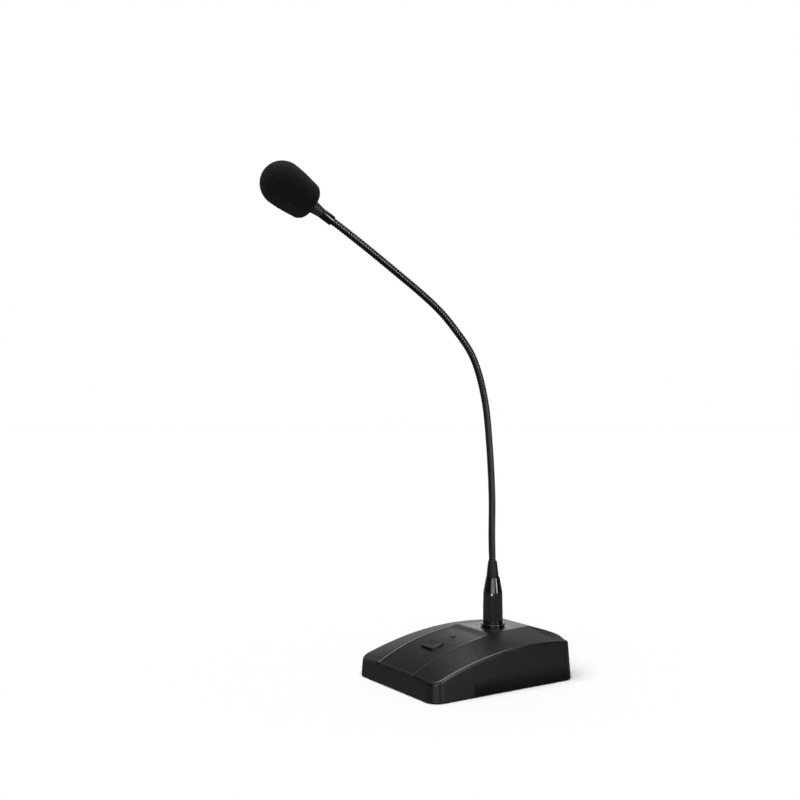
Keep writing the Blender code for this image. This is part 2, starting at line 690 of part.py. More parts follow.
def make_gooseneck(joints):
    cuts = pivot_distances()
    starts = [0.0] + [cut + PIVOT_GAP for cut in cuts]
    ends = [cut - PIVOT_GAP for cut in cuts] + [ROUTE[-1][0]]
    for i, (start, end, joint) in enumerate(zip(starts, ends, joints), 1):
        origin = world_place(joint)
        steps = max(4, round((end - start) / 0.0085))
        tube_form = swept(NECK_RADIUS, NECK_BORE, start, end, origin, steps, 12)
        solid(f"gooseneck_segment_{i}", tube_form, NECK_STEEL, joint, origin)
        cable_form = swept(CABLE_RADIUS, 0.0, start + 0.0006, end - 0.0006, origin, steps, 8)
        solid(f"neck_cable_{i}", cable_form, RUBBER, joint, origin)


# ---------------------------------------------------------------- head


def head_frame():
    """Place and rotation of the head: its Z axis points along the microphone."""
    return HEAD_BASE, (math.pi / 2 - HEAD_TILT, 0.0, 0.0)


def make_head(joint):
    place, rotation = head_frame()
    clear = NECK_RADIUS + GAP
    collar = [(clear, 0.0), (0.0042, 0.0), (0.0045, 0.0005), (0.0045, COLLAR_LENGTH)]
    collar += [(clear, COLLAR_LENGTH)]
    solid("neck_collar", turned(collar, 24), METAL_BLACK, joint, place, rotation)
    start = CAPSULE_START
    rim = FOAM_START + 0.0220
    housing = [(0.0028, start), (0.0041, start), (0.0044, start + 0.0008), (0.0061, FOAM_START)]
    housing += [(0.0061, rim), (0.0056, rim), (0.0054, FOAM_START + 0.0020)]
    housing += [(0.0028, start + 0.0060)]
    solid("capsule_housing", turned(housing, 24), METAL_MATTE, joint, place, rotation)
    seat = FOAM_START + 0.0090
    holder = [(0.0046, seat), (0.0051, seat), (0.0051, seat + 0.0080), (0.0046, seat + 0.0080)]
    solid("capsule_holder", turned(holder, 20), RUBBER, joint, place, rotation)
    element = disc(0.0043, seat + 0.0010, seat + 0.0065, 20)
    solid("capsule_element", element, ALUMINIUM, joint, place, rotation)
    low = rim + GAP
    grille = [(0.0052, low), (0.0061, low)] + arc((0.0040, low + 0.0015), 0.0021, 0.0, 90.0, 3)
    grille += [(0.0, low + 0.0036), (0.0, low + 0.0027), (0.0040, low + 0.0027)]
    grille += [(0.0052, low + 0.0015)]
    solid("capsule_grille", turned(grille, 20), METAL_BLACK, joint, place, rotation)


def make_windscreen(joint):
    """Foam ball with a soft shoulder, and the bore that grips the capsule housing."""
    place, rotation = head_frame()
    end = FOAM_START + FOAM_LENGTH
    equator = end - FOAM_RADIUS
    shoulder = 0.0085
    bore = 0.0065
    depth = FOAM_START + 0.0280
    profile = [(bore, FOAM_START)]
    profile += arc((FOAM_NECK_RADIUS - shoulder, FOAM_START + shoulder), shoulder, -90.0, 0.0, 5)
    profile += [(0.0187, equator - 0.0120)]
    profile += arc((0.0, equator), FOAM_RADIUS, 0.0, 90.0, 9)[:-1]
    profile += [(0.0, end), (0.0, depth), (bore, depth - 0.0010)]
    solid("foam_windscreen", turned(profile, 28), FOAM, joint, place, rotation)


# ---------------------------------------------------------------- assembly


def make_leads():
    """Two leads inside the base: socket to circuit board, and circuit board to output connector."""
    board = BOARD_Z + BOARD_SIZE[2] + GAP
    socket_floor = PLATEAU_Z - SOCKET_DEPTH - 0.0020 - 4 * GAP
    near = board + 0.0012
    route = [(0.0, PLUG_Y, socket_floor), (0.0, 0.024, 0.0195), (0.0, 0.008, 0.0195)]
    lead("socket_lead", route + [(0.0, -0.008, near)])
    route = [(0.020, -0.009, near), (0.024, 0.012, 0.0195), (0.022, 0.040, 0.0180)]
    lead("output_lead", route + [(0.006, 0.0595, 0.0180)])


def lead(name, points):
    curve = bpy.data.curves.new(name, "CURVE")
    curve.dimensions = "3D"
    curve.bevel_depth = 0.0010
    curve.bevel_resolution = 1
    curve.use_fill_caps = True
    curve.resolution_u = 4
    spline = curve.splines.new("BEZIER")
    spline.bezier_points.add(len(points) - 1)
    for point, place in zip(spline.bezier_points, points):
        point.co = place
        point.handle_left_type = "AUTO"
        point.handle_right_type = "AUTO"
    obj = bpy.data.objects.new(name, curve)
    bpy.context.collection.objects.link(obj)
    curve.materials.append(RUBBER)


clear_scene()
HELPER = material("helper", (0.5, 0.5, 0.5), 0.5)
PLASTIC = material("housing_plastic", (0.030, 0.030, 0.032), 0.32)
PLASTIC_BUTTON = material("button_plastic", (0.022, 0.022, 0.024), 0.40)
PLASTIC_DARK = material("insert_plastic", (0.012, 0.012, 0.012), 0.55)
METAL_BLACK = material("black_metal", (0.025, 0.025, 0.028), 0.22, 0.6)
METAL_MATTE = material("matte_metal", (0.050, 0.050, 0.052), 0.55, 0.4)
NECK_STEEL = material("gooseneck_steel", (0.040, 0.040, 0.043), 0.30, 0.7)
STEEL_BLACK = material("base_plate_paint", (0.040, 0.040, 0.040), 0.60, 0.2)
SCREW_STEEL = material("screw_steel", (0.20, 0.20, 0.21), 0.35, 1.0)
CHROME = material("chrome", (0.75, 0.75, 0.76), 0.15, 1.0)
BRASS = material("contact_brass", (0.80, 0.62, 0.30), 0.25, 1.0)
ALUMINIUM = material("capsule_aluminium", (0.70, 0.70, 0.72), 0.35, 1.0)
CAST_IRON = material("cast_iron", (0.10, 0.10, 0.10), 0.70, 0.8)
RUBBER = material("rubber", (0.018, 0.018, 0.018), 0.80)
FOAM = material("foam", (0.010, 0.010, 0.010), 0.95)
LED_RED = material("led_red", (0.65, 0.03, 0.08), 0.20)
BOARD_GREEN = material("circuit_board_green", (0.02, 0.16, 0.07), 0.45)
CAPACITOR = material("capacitor_sleeve", (0.03, 0.03, 0.12), 0.35)

ROUTE = measured_route()

make_housing()
make_base_plate()
make_feet_and_screws()
make_weight()
make_electronics()
make_switch()
make_button(joint_empty("button_travel", panel_frame(BUTTON_Y)[0]))
make_led()
make_socket()
plug_joint = joint_empty("plug_lift", (0.0, PLUG_Y, PLATEAU_Z))
make_plug(plug_joint)
make_output()
neck_joints = make_neck_joints(plug_joint)
make_gooseneck(neck_joints)
make_head(neck_joints[-1])
make_windscreen(joint_empty("windscreen_pull", HEAD_BASE, neck_joints[-1]))
make_leads()
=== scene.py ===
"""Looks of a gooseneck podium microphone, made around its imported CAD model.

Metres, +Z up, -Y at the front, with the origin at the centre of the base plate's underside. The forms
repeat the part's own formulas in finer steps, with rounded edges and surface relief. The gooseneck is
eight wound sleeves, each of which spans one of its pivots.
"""

import math

import bmesh
import bpy
from mathutils import Matrix, Vector, noise


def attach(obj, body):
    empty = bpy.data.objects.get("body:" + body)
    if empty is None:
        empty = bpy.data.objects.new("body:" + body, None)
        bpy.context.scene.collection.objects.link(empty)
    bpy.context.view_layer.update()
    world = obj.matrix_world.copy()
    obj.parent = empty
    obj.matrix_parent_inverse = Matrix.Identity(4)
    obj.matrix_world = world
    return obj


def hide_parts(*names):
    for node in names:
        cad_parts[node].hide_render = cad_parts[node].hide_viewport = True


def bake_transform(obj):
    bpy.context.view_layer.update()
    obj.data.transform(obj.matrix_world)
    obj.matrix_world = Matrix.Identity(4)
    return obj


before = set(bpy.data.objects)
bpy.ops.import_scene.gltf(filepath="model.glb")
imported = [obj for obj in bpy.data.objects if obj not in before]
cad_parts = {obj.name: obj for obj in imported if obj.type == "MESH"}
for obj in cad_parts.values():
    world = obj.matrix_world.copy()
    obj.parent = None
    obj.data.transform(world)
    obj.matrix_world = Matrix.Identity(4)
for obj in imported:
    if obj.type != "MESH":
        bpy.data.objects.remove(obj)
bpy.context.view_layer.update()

TURN = 2.0 * math.pi
GAP = 0.0003  # clearance between pieces that touch

# Base
BASE_WIDTH = 0.1272
BASE_DEPTH = 0.1643
BASE_CORNER = 0.0120  # corner radius of the footprint
BASE_EDGE = 0.0025  # rounding of the top edge
FRONT_ROLL = 0.0012  # how much larger that rounding is along the front
BASE_WALL = 0.0025
WALL_DRAFT = 0.077  # inward lean of the outer walls, per unit of height
PANEL_DIP = 0.0007  # the centre panel lies this far below its borders
PANEL_DIP_REACH = 0.0100  # length over which it rises to them at the plateau
PANEL_BEVEL = 0.0006  # half the width of each border
PANEL_HALF_FRONT = 0.0287
PANEL_HALF_REAR = 0.0245
PANEL_FALL = 0.145
PANEL_CURL = 18.3  # how fast the panel steepens towards the front
PLATEAU_Z = 0.0436
PLATEAU_FRONT = 0.0100
PLATEAU_REAR = 0.0610
PLATEAU_HALF_REAR = 0.0195
REAR_FALL = 0.15
REAR_RADIUS = 0.0360
EDGE_TOP_Y = 0.0340  # highest point of the walls' top edge
EDGE_TOP_Z = 0.0375
EDGE_FRONT_RADIUS = 0.302
EDGE_REAR_RADIUS = 0.340
FRONT_LIP = 0.0160  # least height of the walls
CREASE_HALF = 0.0005  # half the width of the soft crease at either end of the plateau
PLATE_THICKNESS = 0.0020
SCREW_X = 0.038
SCREW_Y = 0.062
FOOT_X = 0.052
FOOT_Y = 0.069
FOOT_DROP = 0.0012
FOOT_RADIUS = 0.0060

# Button and indicator
BUTTON_Y = -0.0385
BUTTON_SIZE = (0.0190, 0.0145)
BUTTON_HEIGHT = 0.0052
BUTTON_PROUD = 0.0016
BUTTON_GAP = 0.0005
BUTTON_EDGE = 0.0005  # rounding of the button's top edge
BUTTON_DISH = 0.0003
LED_Y = -0.0147
LED_RADIUS = 0.0015
BEZEL_RADIUS = 0.0025

# Socket and plug
PLUG_Y = 0.0328
SOCKET_DEPTH = 0.0165
SOCKET_BORE = 0.0098
SOCKET_OUTER = 0.0110
SOCKET_FLANGE = 0.0119
PLUG_OUTER = 0.0095
PLUG_SHOULDER = 0.0091  # the shell's radius where its cone starts
PLUG_BORE = 0.0082
PLUG_LIP_Z = PLATEAU_Z - 0.0135
PLUG_TAPER_Z = 0.0753
PLUG_TOP_Z = 0.0914
BOOT_TOP_Z = 0.1062
INSERT_RADIUS = 0.0078
PIN_CIRCLE = 0.0048
PIN_RADIUS = 0.0012
CONTACT_RADIUS = 0.0015
SET_SCREW_Z = 0.0747
SET_SCREW_ANGLE = math.radians(-44.5)  # about Z, from +X

# Gooseneck: the centreline in the plane x = 0, as (y, z)
NECK_RADIUS = 0.0035
NECK_BORE = 0.0021
NECK_ROUTE = (
    (0.0326, 0.0957),
    (0.0316, 0.1301),
    (0.0318, 0.1683),
    (0.0290, 0.2153),
    (0.0231, 0.2612),
    (0.0102, 0.2995),
    (-0.0110, 0.3263),
    (-0.0385, 0.3509),
    (-0.0912, 0.3852),
    (-0.1327, 0.4105),
    (-0.1484, 0.4193),
)
NECK_START = 0.0105
NECK_HIDDEN = 0.0045
PIVOTS = 8
NECK_PITCH = 0.0029  # one turn of the wound wires
ROUND_WIRE = 0.00095  # radius of the round wire
FLAT_WIRE_DEPTH = 0.00034  # the wire between its turns lies this far below the neck's radius
RINGS_PER_TURN = 9
NECK_SIDES = 26

# Head, along its own axis from the gooseneck's end
HEAD_TILT = math.radians(29.3)
HEAD_BASE = (0.0, -0.1449, 0.4173)
COLLAR_LENGTH = 0.0122
CAPSULE_START = 0.0125
FOAM_START = 0.0236
FOAM_LENGTH = 0.0511
FOAM_RADIUS = 0.0194
FOAM_NECK_RADIUS = 0.0172
FOAM_SHOULDER = 0.0085
FOAM_BORE = 0.0065
FOAM_DEPTH = FOAM_START + 0.0280  # end of the bore
CAPSULE_RIM = FOAM_START + 0.0220
GRILLE_START = CAPSULE_RIM + GAP

# Output connector in the rear wall
OUTPUT_Z = 0.0175
OUTPUT_TILT = math.atan(WALL_DRAFT)
OUTPUT_FLANGE = (0.026, 0.031, 0.0016)
OUTPUT_BARREL = 0.0110

# View and light
CAMERA_AZIMUTH = math.radians(56.92)
CAMERA_ELEVATION = math.radians(-0.28)
CAMERA_TARGET = Vector((-0.03386, -0.05199, 0.26115))
CAMERA_DISTANCE = 1.0
CAMERA_LENS = 47.445
BACKDROP_AZIMUTH = 242.0
BACKDROP_FADE = (0.35, 0.75)  # cosines of the angles from its azimuth over which it appears
BACKDROP = (  # its brightness at each elevation, in degrees
    (-90.0, 0.05),
    (-8.0, 0.08),
    (-2.0, 0.42),
    (9.0, 0.42),
    (20.0, 0.38),
    (27.0, 0.32),
    (31.0, 0.15),
    (90.0, 0.15),
)
ROOM = (  # the same for the rest of the surroundings
    (-90.0, 0.04),
    (-24.0, 0.06),
    (-14.0, 0.27),
    (-7.0, 0.27),
    (-1.0, 0.05),
    (90.0, 0.05),
)
OVERHEAD_POWER = 3.6
FLOOR_Z = -FOOT_DROP
STAGE_RADIUS = 12.0


# ---------------------------------------------------------------- stage


def towards_camera(azimuth=CAMERA_AZIMUTH, elevation=CAMERA_ELEVATION):
    """Unit vector from the object at an azimuth about it (0 is its front) and an elevation."""
    level = math.cos(elevation)
    return Vector((math.sin(azimuth) * level, -math.cos(azimuth) * level, math.sin(elevation)))


def view_direction(azimuth, elevation):
    """The same, with the angles in degrees."""
    return towards_camera(math.radians(azimuth), math.radians(elevation))


def make_camera():
    camera = bpy.data.objects.new("camera", bpy.data.cameras.new("camera"))
    bpy.context.scene.collection.objects.link(camera)
    back = towards_camera()
    camera.location = CAMERA_TARGET + back * CAMERA_DISTANCE
    camera.rotation_euler = (-back).to_track_quat("-Z", "Y").to_euler()
    camera.data.lens = CAMERA_LENS
    camera.data.sensor_width = 36.0
    camera.data.clip_end = 2.0 * STAGE_RADIUS
    bpy.context.scene.camera = camera


def stage_piece(name, bm, colour, emission=0.0):
    mesh = bpy.data.meshes.new(name)
    bm.to_mesh(mesh)
    bm.free()
    mesh.shade_smooth()
    obj = bpy.data.objects.new(name, mesh)
    bpy.context.scene.collection.objects.link(obj)
    paint = bpy.data.materials.new(name)
    paint.use_nodes = True
    shader = paint.node_tree.nodes["Principled BSDF"]
    shader.inputs["Base Color"].default_value = (*colour, 1.0)
    shader.inputs["Roughness"].default_value = 0.9
    shader.inputs["Specular IOR Level"].default_value = 0.0
    shader.inputs["Emission Color"].default_value = (1.0, 1.0, 1.0, 1.0)
    shader.inputs["Emission Strength"].default_value = emission
    mesh.materials.append(paint)
    return obj


def make_floor():
    """A pale floor, and a white surround that only the camera sees."""
    bm = bmesh.new()
    bmesh.ops.create_circle(bm, cap_ends=True, segments=96, radius=STAGE_RADIUS)
    floor = stage_piece("floor", bm, (0.92, 0.92, 0.92))
    floor.location.z = FLOOR_Z
    floor.visible_glossy = False
    bm = bmesh.new()
    bmesh.ops.create_uvsphere(bm, u_segments=48, v_segments=24, radius=STAGE_RADIUS)
    surround = stage_piece("surround", bm, (0.0, 0.0, 0.0), 1.0)
    surround.visible_diffuse = False
    surround.visible_glossy = False
    surround.visible_transmission = False
    surround.visible_shadow = False


def add_light(name, kind, power, direction, glossy=True):
    light = bpy.data.lights.new(name, kind)
    light.energy = power
    obj = bpy.data.objects.new(name, light)
    bpy.context.scene.collection.objects.link(obj)
    obj.rotation_euler = direction.to_track_quat("Z", "Y").to_euler()
    obj.visible_glossy = glossy
    obj.visible_camera = False
    return obj


def softbox(name, place, aim, size, radiance):
    """A rectangular light at a place, facing an aim, which only shows in glossy surfaces."""
    obj = add_light(name, "AREA", radiance * math.pi * size[0] * size[1], (place - aim).normalized())
    obj.data.shape = "RECTANGLE"
    obj.data.size, obj.data.size_y = size
    obj.location = place
    obj.visible_diffuse = False


def make_lights():
    """A broad soft light from above for the matt surfaces, and softboxes for the glossy ones."""
    overhead = add_light("overhead", "SUN", OVERHEAD_POWER, view_direction(30.0, 62.0), False)
    overhead.data.angle = math.radians(70.0)
    plug = Vector((0.0, PLUG_Y, 0.085))  # the middle of the plug's tapered top
    bend = Vector((0.0, 0.0, 0.36))  # beside the upper half of the gooseneck
    softbox("camera_side", plug + 1.7 * view_direction(54.0, 8.0), plug, (1.50, 0.66), 3.2)
    softbox("right_side", bend + 1.3 * view_direction(108.0, 0.0), bend, (0.20, 0.60), 16.0)
    softbox("above", plug + 1.4 * view_direction(200.0, 86.0), plug, (1.30, 1.30), 5.0)
    softbox("behind", plug + 1.6 * view_direction(234.0, 12.0), plug, (0.30, 0.36), 1.1)


def ranged(tree, source, low, high, least, most):
    """The source, from low to high, spread from least to most."""
    node = tree.nodes.new("ShaderNodeMapRange")
    for socket, value in (("From Min", low), ("From Max", high), ("To Min", least), ("To Max", most)):
        node.inputs[socket].default_value = value
    tree.links.new(source, node.inputs["Value"])
    return node.outputs[0]


def brightness(tree, height, stops):
    """A brightness that follows (elevation, level) stops, where height runs from 0 to 1."""
    ramp = tree.nodes.new("ShaderNodeValToRGB")
    while len(ramp.color_ramp.elements) < len(stops):
        ramp.color_ramp.elements.new(0.5)
    for element, (elevation, level) in zip(ramp.color_ramp.elements, stops):
        element.position = 0.5 + 0.5 * math.sin(math.radians(elevation))
        element.color = (level, level, level, 1.0)
    tree.links.new(height, ramp.inputs[0])
    return ramp.outputs[0]


def make_world():
    """A bright backdrop low behind the object, and dim surroundings elsewhere."""
    world = bpy.data.worlds.new("studio")
    bpy.context.scene.world = world
    world.use_nodes = True
    tree = world.node_tree
    place = tree.nodes.new("ShaderNodeTexCoord").outputs["Generated"]
    split = tree.nodes.new("ShaderNodeSeparateXYZ")
    tree.links.new(place, split.inputs[0])
    height = ranged(tree, split.outputs["Z"], -1.0, 1.0, 0.0, 1.0)
    behind = tree.nodes.new("ShaderNodeVectorMath")
    behind.operation = "DOT_PRODUCT"
    behind.inputs[1].default_value = view_direction(BACKDROP_AZIMUTH, 0.0)
    tree.links.new(place, behind.inputs[0])
    share = ranged(tree, behind.outputs["Value"], BACKDROP_FADE[0], BACKDROP_FADE[1], 0.0, 1.0)
    mixed = tree.nodes.new("ShaderNodeMix")
    mixed.data_type = "RGBA"
    tree.links.new(share, mixed.inputs["Factor"])
    tree.links.new(brightness(tree, height, ROOM), mixed.inputs[6])
    tree.links.new(brightness(tree, height, BACKDROP), mixed.inputs[7])
    tree.links.new(mixed.outputs[2], tree.nodes["Background"].inputs["Color"])


# ---------------------------------------------------------------- materials


def texture(tree, kind, scale, stretch=(1.0, 1.0, 1.0), detail=2.0):
    """A noise or Voronoi texture in the piece's own coordinates; its fac or distance is output 0."""
    place = tree.nodes.new("ShaderNodeTexCoord")
    mapping = tree.nodes.new("ShaderNodeMapping")
    mapping.inputs["Scale"].default_value = stretch
    tree.links.new(place.outputs["Object"], mapping.inputs["Vector"])
    node = tree.nodes.new(f"ShaderNodeTex{kind}")
    node.inputs["Scale"].default_value = scale
    if kind == "Noise":
        node.inputs["Detail"].default_value = detail
    tree.links.new(mapping.outputs[0], node.inputs["Vector"])
    return node.outputs[0]


def between(tree, source, low, high):
    """The source, from 0.3 to 0.7, spread from low to high."""
    return ranged(tree, source, 0.3, 0.7, low, high)


def tinted(tree, source, dark, light):
    """A colour from dark to light as the source goes from 0.3 to 0.7."""
    node = tree.nodes.new("ShaderNodeMix")
    node.data_type = "RGBA"
    tree.links.new(between(tree, source, 0.0, 1.0), node.inputs["Factor"])
    node.inputs[6].default_value = (*dark, 1.0)
    node.inputs[7].default_value = (*light, 1.0)
    return node.outputs[2]


def bumped(tree, source, depth, below=None):
    """A relief of a depth in metres, on top of an earlier one."""
    node = tree.nodes.new("ShaderNodeBump")
    node.inputs["Distance"].default_value = depth
    tree.links.new(source, node.inputs["Height"])
    if below:
        tree.links.new(below, node.inputs["Normal"])
    return node.outputs[0]


def skin(name, colour, roughness, spread=0.05, metallic=0.0, mottle=(0.15, 180.0), reliefs=(), sockets=()):
    """A material whose colour, roughness and relief all vary.

    mottle is (share of the colour, scale). Each relief is (kind, scale, stretch, depth in metres).
    """
    made = bpy.data.materials.new(name)
    made.use_nodes = True
    tree = made.node_tree
    shader = tree.nodes["Principled BSDF"]
    shader.inputs["Metallic"].default_value = metallic
    for socket, value in sockets:
        shader.inputs[socket].default_value = value
    share, scale = mottle
    patches = texture(tree, "Noise", scale, detail=4.0)
    dark = [channel * (1.0 - share) for channel in colour]
    light = [min(1.0, channel * (1.0 + share)) for channel in colour]
    tree.links.new(tinted(tree, patches, dark, light), shader.inputs["Base Color"])
    smears = texture(tree, "Noise", 0.6 * scale, (1.0, 1.7, 2.6), 3.0)
    gloss = between(tree, smears, roughness - spread, roughness + spread)
    tree.links.new(gloss, shader.inputs["Roughness"])
    below = None
    for kind, grain, stretch, depth in reliefs:
        below = bumped(tree, texture(tree, kind, grain, stretch), depth, below)
    if below:
        tree.links.new(below, shader.inputs["Normal"])
    return made


EVEN = (1.0, 1.0, 1.0)
TURNED = (0.05, 0.05, 1.0)  # stretches a texture into rings about Z
FINE_GRAIN = ("Noise", 2600.0, EVEN, 0.000006)
ORANGE_PEEL = ("Noise", 700.0, EVEN, 0.000004)
TURNING_MARKS = ("Noise", 5200.0, TURNED, 0.000004)


def plastic_skins():
    return {
        "housing_plastic": skin(
            "moulded_plastic", (0.0034, 0.0034, 0.0038), 0.29, 0.02, mottle=(0.08, 90.0),
            reliefs=(FINE_GRAIN,),
        ),
        "button_plastic": skin(
            "button_plastic", (0.0034, 0.0034, 0.0038), 0.33, 0.03, reliefs=(FINE_GRAIN,)
        ),
        "insert_plastic": skin(
            "insert_plastic", (0.0080, 0.0080, 0.0085), 0.50, 0.08,
            reliefs=(("Noise", 1800.0, EVEN, 0.00002),),
        ),
    }


def metal_skins():
    return {
        "black_metal": skin(
            "black_lacquer", (0.0036, 0.0036, 0.0042), 0.17, 0.03, mottle=(0.15, 240.0),
            reliefs=(TURNING_MARKS,), sockets=(("Coat Weight", 0.2), ("Coat Roughness", 0.08)),
        ),
        "matte_metal": skin(
            "matte_anodised", (0.026, 0.026, 0.028), 0.46, 0.05, metallic=0.3, mottle=(0.2, 500.0),
            reliefs=(("Noise", 3600.0, EVEN, 0.000012), TURNING_MARKS),
        ),
        "gooseneck_steel": skin(
            "gooseneck_lacquer", (0.0034, 0.0034, 0.0038), 0.14, 0.02, mottle=(0.15, 320.0),
            reliefs=(ORANGE_PEEL,), sockets=(("Specular IOR Level", 0.75),),
        ),
        "plate_paint": skin(
            "plate_powder_coat", (0.020, 0.020, 0.020), 0.62, 0.08, metallic=0.1,
            reliefs=(("Noise", 1300.0, EVEN, 0.00006),),
        ),
        "screw_steel": skin(
            "screw_zinc", (0.16, 0.16, 0.17), 0.34, 0.10, metallic=1.0, mottle=(0.3, 900.0),
            reliefs=(TURNING_MARKS,),
        ),
        "chrome": skin(
            "plated_steel", (0.62, 0.63, 0.65), 0.16, 0.06, metallic=1.0, mottle=(0.1, 600.0),
            reliefs=(TURNING_MARKS,),
        ),
        "contact_brass": skin(
            "contact_brass", (0.70, 0.50, 0.22), 0.24, 0.08, metallic=1.0, mottle=(0.15, 700.0),
            reliefs=(TURNING_MARKS,),
        ),
        "capsule_aluminium": skin(
            "capsule_aluminium", (0.60, 0.60, 0.62), 0.34, 0.08, metallic=1.0, mottle=(0.1, 700.0),
            reliefs=(TURNING_MARKS,),
        ),
        "cast_iron": skin(
            "cast_iron", (0.060, 0.058, 0.056), 0.72, 0.10, metallic=0.7, mottle=(0.4, 260.0),
            reliefs=(("Noise", 900.0, EVEN, 0.00018),),
        ),
    }


def other_skins():
    return {
        "rubber": skin(
            "rubber", (0.0060, 0.0060, 0.0062), 0.55, 0.06, mottle=(0.2, 420.0),
            reliefs=(("Noise", 2200.0, EVEN, 0.00002),), sockets=(("Specular IOR Level", 0.3),),
        ),
        "foam": skin(
            "open_cell_foam", (0.0042, 0.0042, 0.0043), 0.95, 0.05, mottle=(0.45, 900.0),
            reliefs=(("Voronoi", 1500.0, EVEN, 0.00035), ("Noise", 2600.0, EVEN, 0.00020)),
            sockets=(("Specular IOR Level", 0.10), ("Sheen Weight", 0.02), ("Sheen Roughness", 0.6)),
        ),
        "led_red": skin(
            "indicator_red", (0.42, 0.008, 0.030), 0.14, 0.04, mottle=(0.2, 1500.0),
            sockets=(("Coat Weight", 0.6), ("Transmission Weight", 0.15)),
        ),
        "circuit_board_green": skin(
            "solder_mask", (0.010, 0.090, 0.040), 0.38, 0.08, mottle=(0.35, 700.0),
            reliefs=(("Voronoi", 420.0, (1.0, 0.25, 1.0), 0.00006),),
        ),
        "capacitor_sleeve": skin(
            "capacitor_sleeve", (0.016, 0.016, 0.070), 0.30, 0.06, mottle=(0.2, 600.0),
            reliefs=(("Noise", 1500.0, EVEN, 0.00002),),
        ),
    }


def make_skins():
    """One material for each of the record's material slots, by slot name."""
    return {**plastic_skins(), **metal_skins(), **other_skins()}


# ---------------------------------------------------------------- shape helpers


def filleted(corners, steps=4):
    """A closed (radius, height) outline; each corner is (radius, height, rounding)."""
    outline = []
    for i, (radius, height, rounding) in enumerate(corners):
        here = Vector((radius, height))
        before = Vector(corners[i - 1][:2]) - here
        after = Vector(corners[(i + 1) % len(corners)][:2]) - here
        reach = min(rounding, 0.49 * before.length, 0.49 * after.length)
        if reach <= 0.0:
            outline.append(here)
            continue
        start = here + before.normalized() * reach
        end = here + after.normalized() * reach
        for j in range(steps + 1):
            part = j / steps
            outline.append(start * (1 - part) ** 2 + here * 2 * part * (1 - part) + end * part**2)
    return outline


def arc(centre, radius, start, end, count):
    """Points on an arc, as (radius, height) pairs, both ends included; angles in degrees."""
    points = []
    for i in range(count + 1):
        angle = math.radians(start + (end - start) * i / count)
        points.append(Vector((centre[0] + radius * math.cos(angle), centre[1] + radius * math.sin(angle))))
    return points


def ring_faces(bm, low, high):
    """Faces between two rings of equal count; a ring of one vertex is a point on the axis."""
    count = max(len(low), len(high))
    for i in range(count):
        j = (i + 1) % count
        loop = [low[i % len(low)], low[j % len(low)], high[j % len(high)], high[i % len(high)]]
        bm.faces.new(list(dict.fromkeys(loop)))


def turned(profile, steps=56):
    """The bmesh of a closed (radius, height) outline spun about Z."""
    bm = bmesh.new()
    rings = []
    for radius, height in profile:
        if radius < 1e-7:
            rings.append([bm.verts.new((0.0, 0.0, height))])
            continue
        angles = [TURN * i / steps for i in range(steps)]
        rings.append([bm.verts.new((radius * math.cos(a), radius * math.sin(a), height)) for a in angles])
    for low, high in zip(rings, rings[1:] + rings[:1]):
        if len(low) > 1 or len(high) > 1:
            ring_faces(bm, low, high)
    return bm


def disc(radius, low, high, steps=48):
    profile = [Vector(pair) for pair in ((0.0, low), (radius, low), (radius, high), (0.0, high))]
    return turned(profile, steps)


def rounded_outline(width, depth, radius, steps=8):
    """A rounded rectangle about the origin, counter-clockwise."""
    points = []
    for quarter, (sign_x, sign_y) in enumerate(((1, 1), (-1, 1), (-1, -1), (1, -1))):
        corner = Vector((sign_x * (width / 2 - radius), sign_y * (depth / 2 - radius)))
        for i in range(steps + 1):
            angle = math.pi / 2 * (quarter + i / steps)
            points.append(corner + radius * Vector((math.cos(angle), math.sin(angle))))
    return points


def stacked(levels):
    """The closed bmesh through rings; each level is (outline, height), from the lowest up."""
    bm = bmesh.new()
    rings = [[bm.verts.new((point.x, point.y, height)) for point in outline] for outline, height in levels]
    for low, high in zip(rings, rings[1:]):
        ring_faces(bm, low, high)
    bm.faces.new(rings[0])
    bm.faces.new(rings[-1])
    return bm


def soft_block(size, radius, low, edge, dish=0.0):
    """A rounded block with a rounded top edge, and a top that is dished by a depth."""
    width, depth, height = size
    top = low + height
    levels = [(rounded_outline(width - edge, depth - edge, radius - edge / 2), low)]
    levels.append((rounded_outline(width, depth, radius), low + edge / 2))
    for i in range(7):
        angle = math.pi / 2 * i / 6
        inset = edge * (1.0 - math.cos(angle))
        outline = rounded_outline(width - 2 * inset, depth - 2 * inset, radius - inset)
        levels.append((outline, top - edge * (1.0 - math.sin(angle))))
    for part in (0.25, 0.5, 0.75):
        inset = edge + part * (depth / 2 - edge) * 0.9
        outline = rounded_outline(width - 2 * inset, depth - 2 * inset, max(0.0004, radius - inset))
        levels.append((outline, top - dish * math.sin(part * math.pi / 2)))
    return stacked(levels)


def merged(*shapes):
    """Several closed bmeshes in one."""
    whole = bmesh.new()
    for bm in shapes:
        mesh = bpy.data.meshes.new("merged")
        bmesh.ops.recalc_face_normals(bm, faces=bm.faces)
        bm.to_mesh(mesh)
        bm.free()
        whole.from_mesh(mesh)
        bpy.data.meshes.remove(mesh)
    return whole


def moved(bm, offset, rotation=(0.0, 0.0, 0.0)):
    turn = Matrix.LocRotScale(Vector(offset), None, None)
    for angle, axis in zip(rotation, "XYZ"):
        turn = turn @ Matrix.Rotation(angle, 4, axis)
    bmesh.ops.transform(bm, matrix=turn, verts=bm.verts)
    return bm


def helper_object(bm):
    bmesh.ops.remove_doubles(bm, verts=bm.verts, dist=1e-7)
    bmesh.ops.recalc_face_normals(bm, faces=bm.faces)
    mesh = bpy.data.meshes.new("helper")
    bm.to_mesh(mesh)
    bm.free()
    obj = bpy.data.objects.new("helper", mesh)
    bpy.context.scene.collection.objects.link(obj)
    return obj


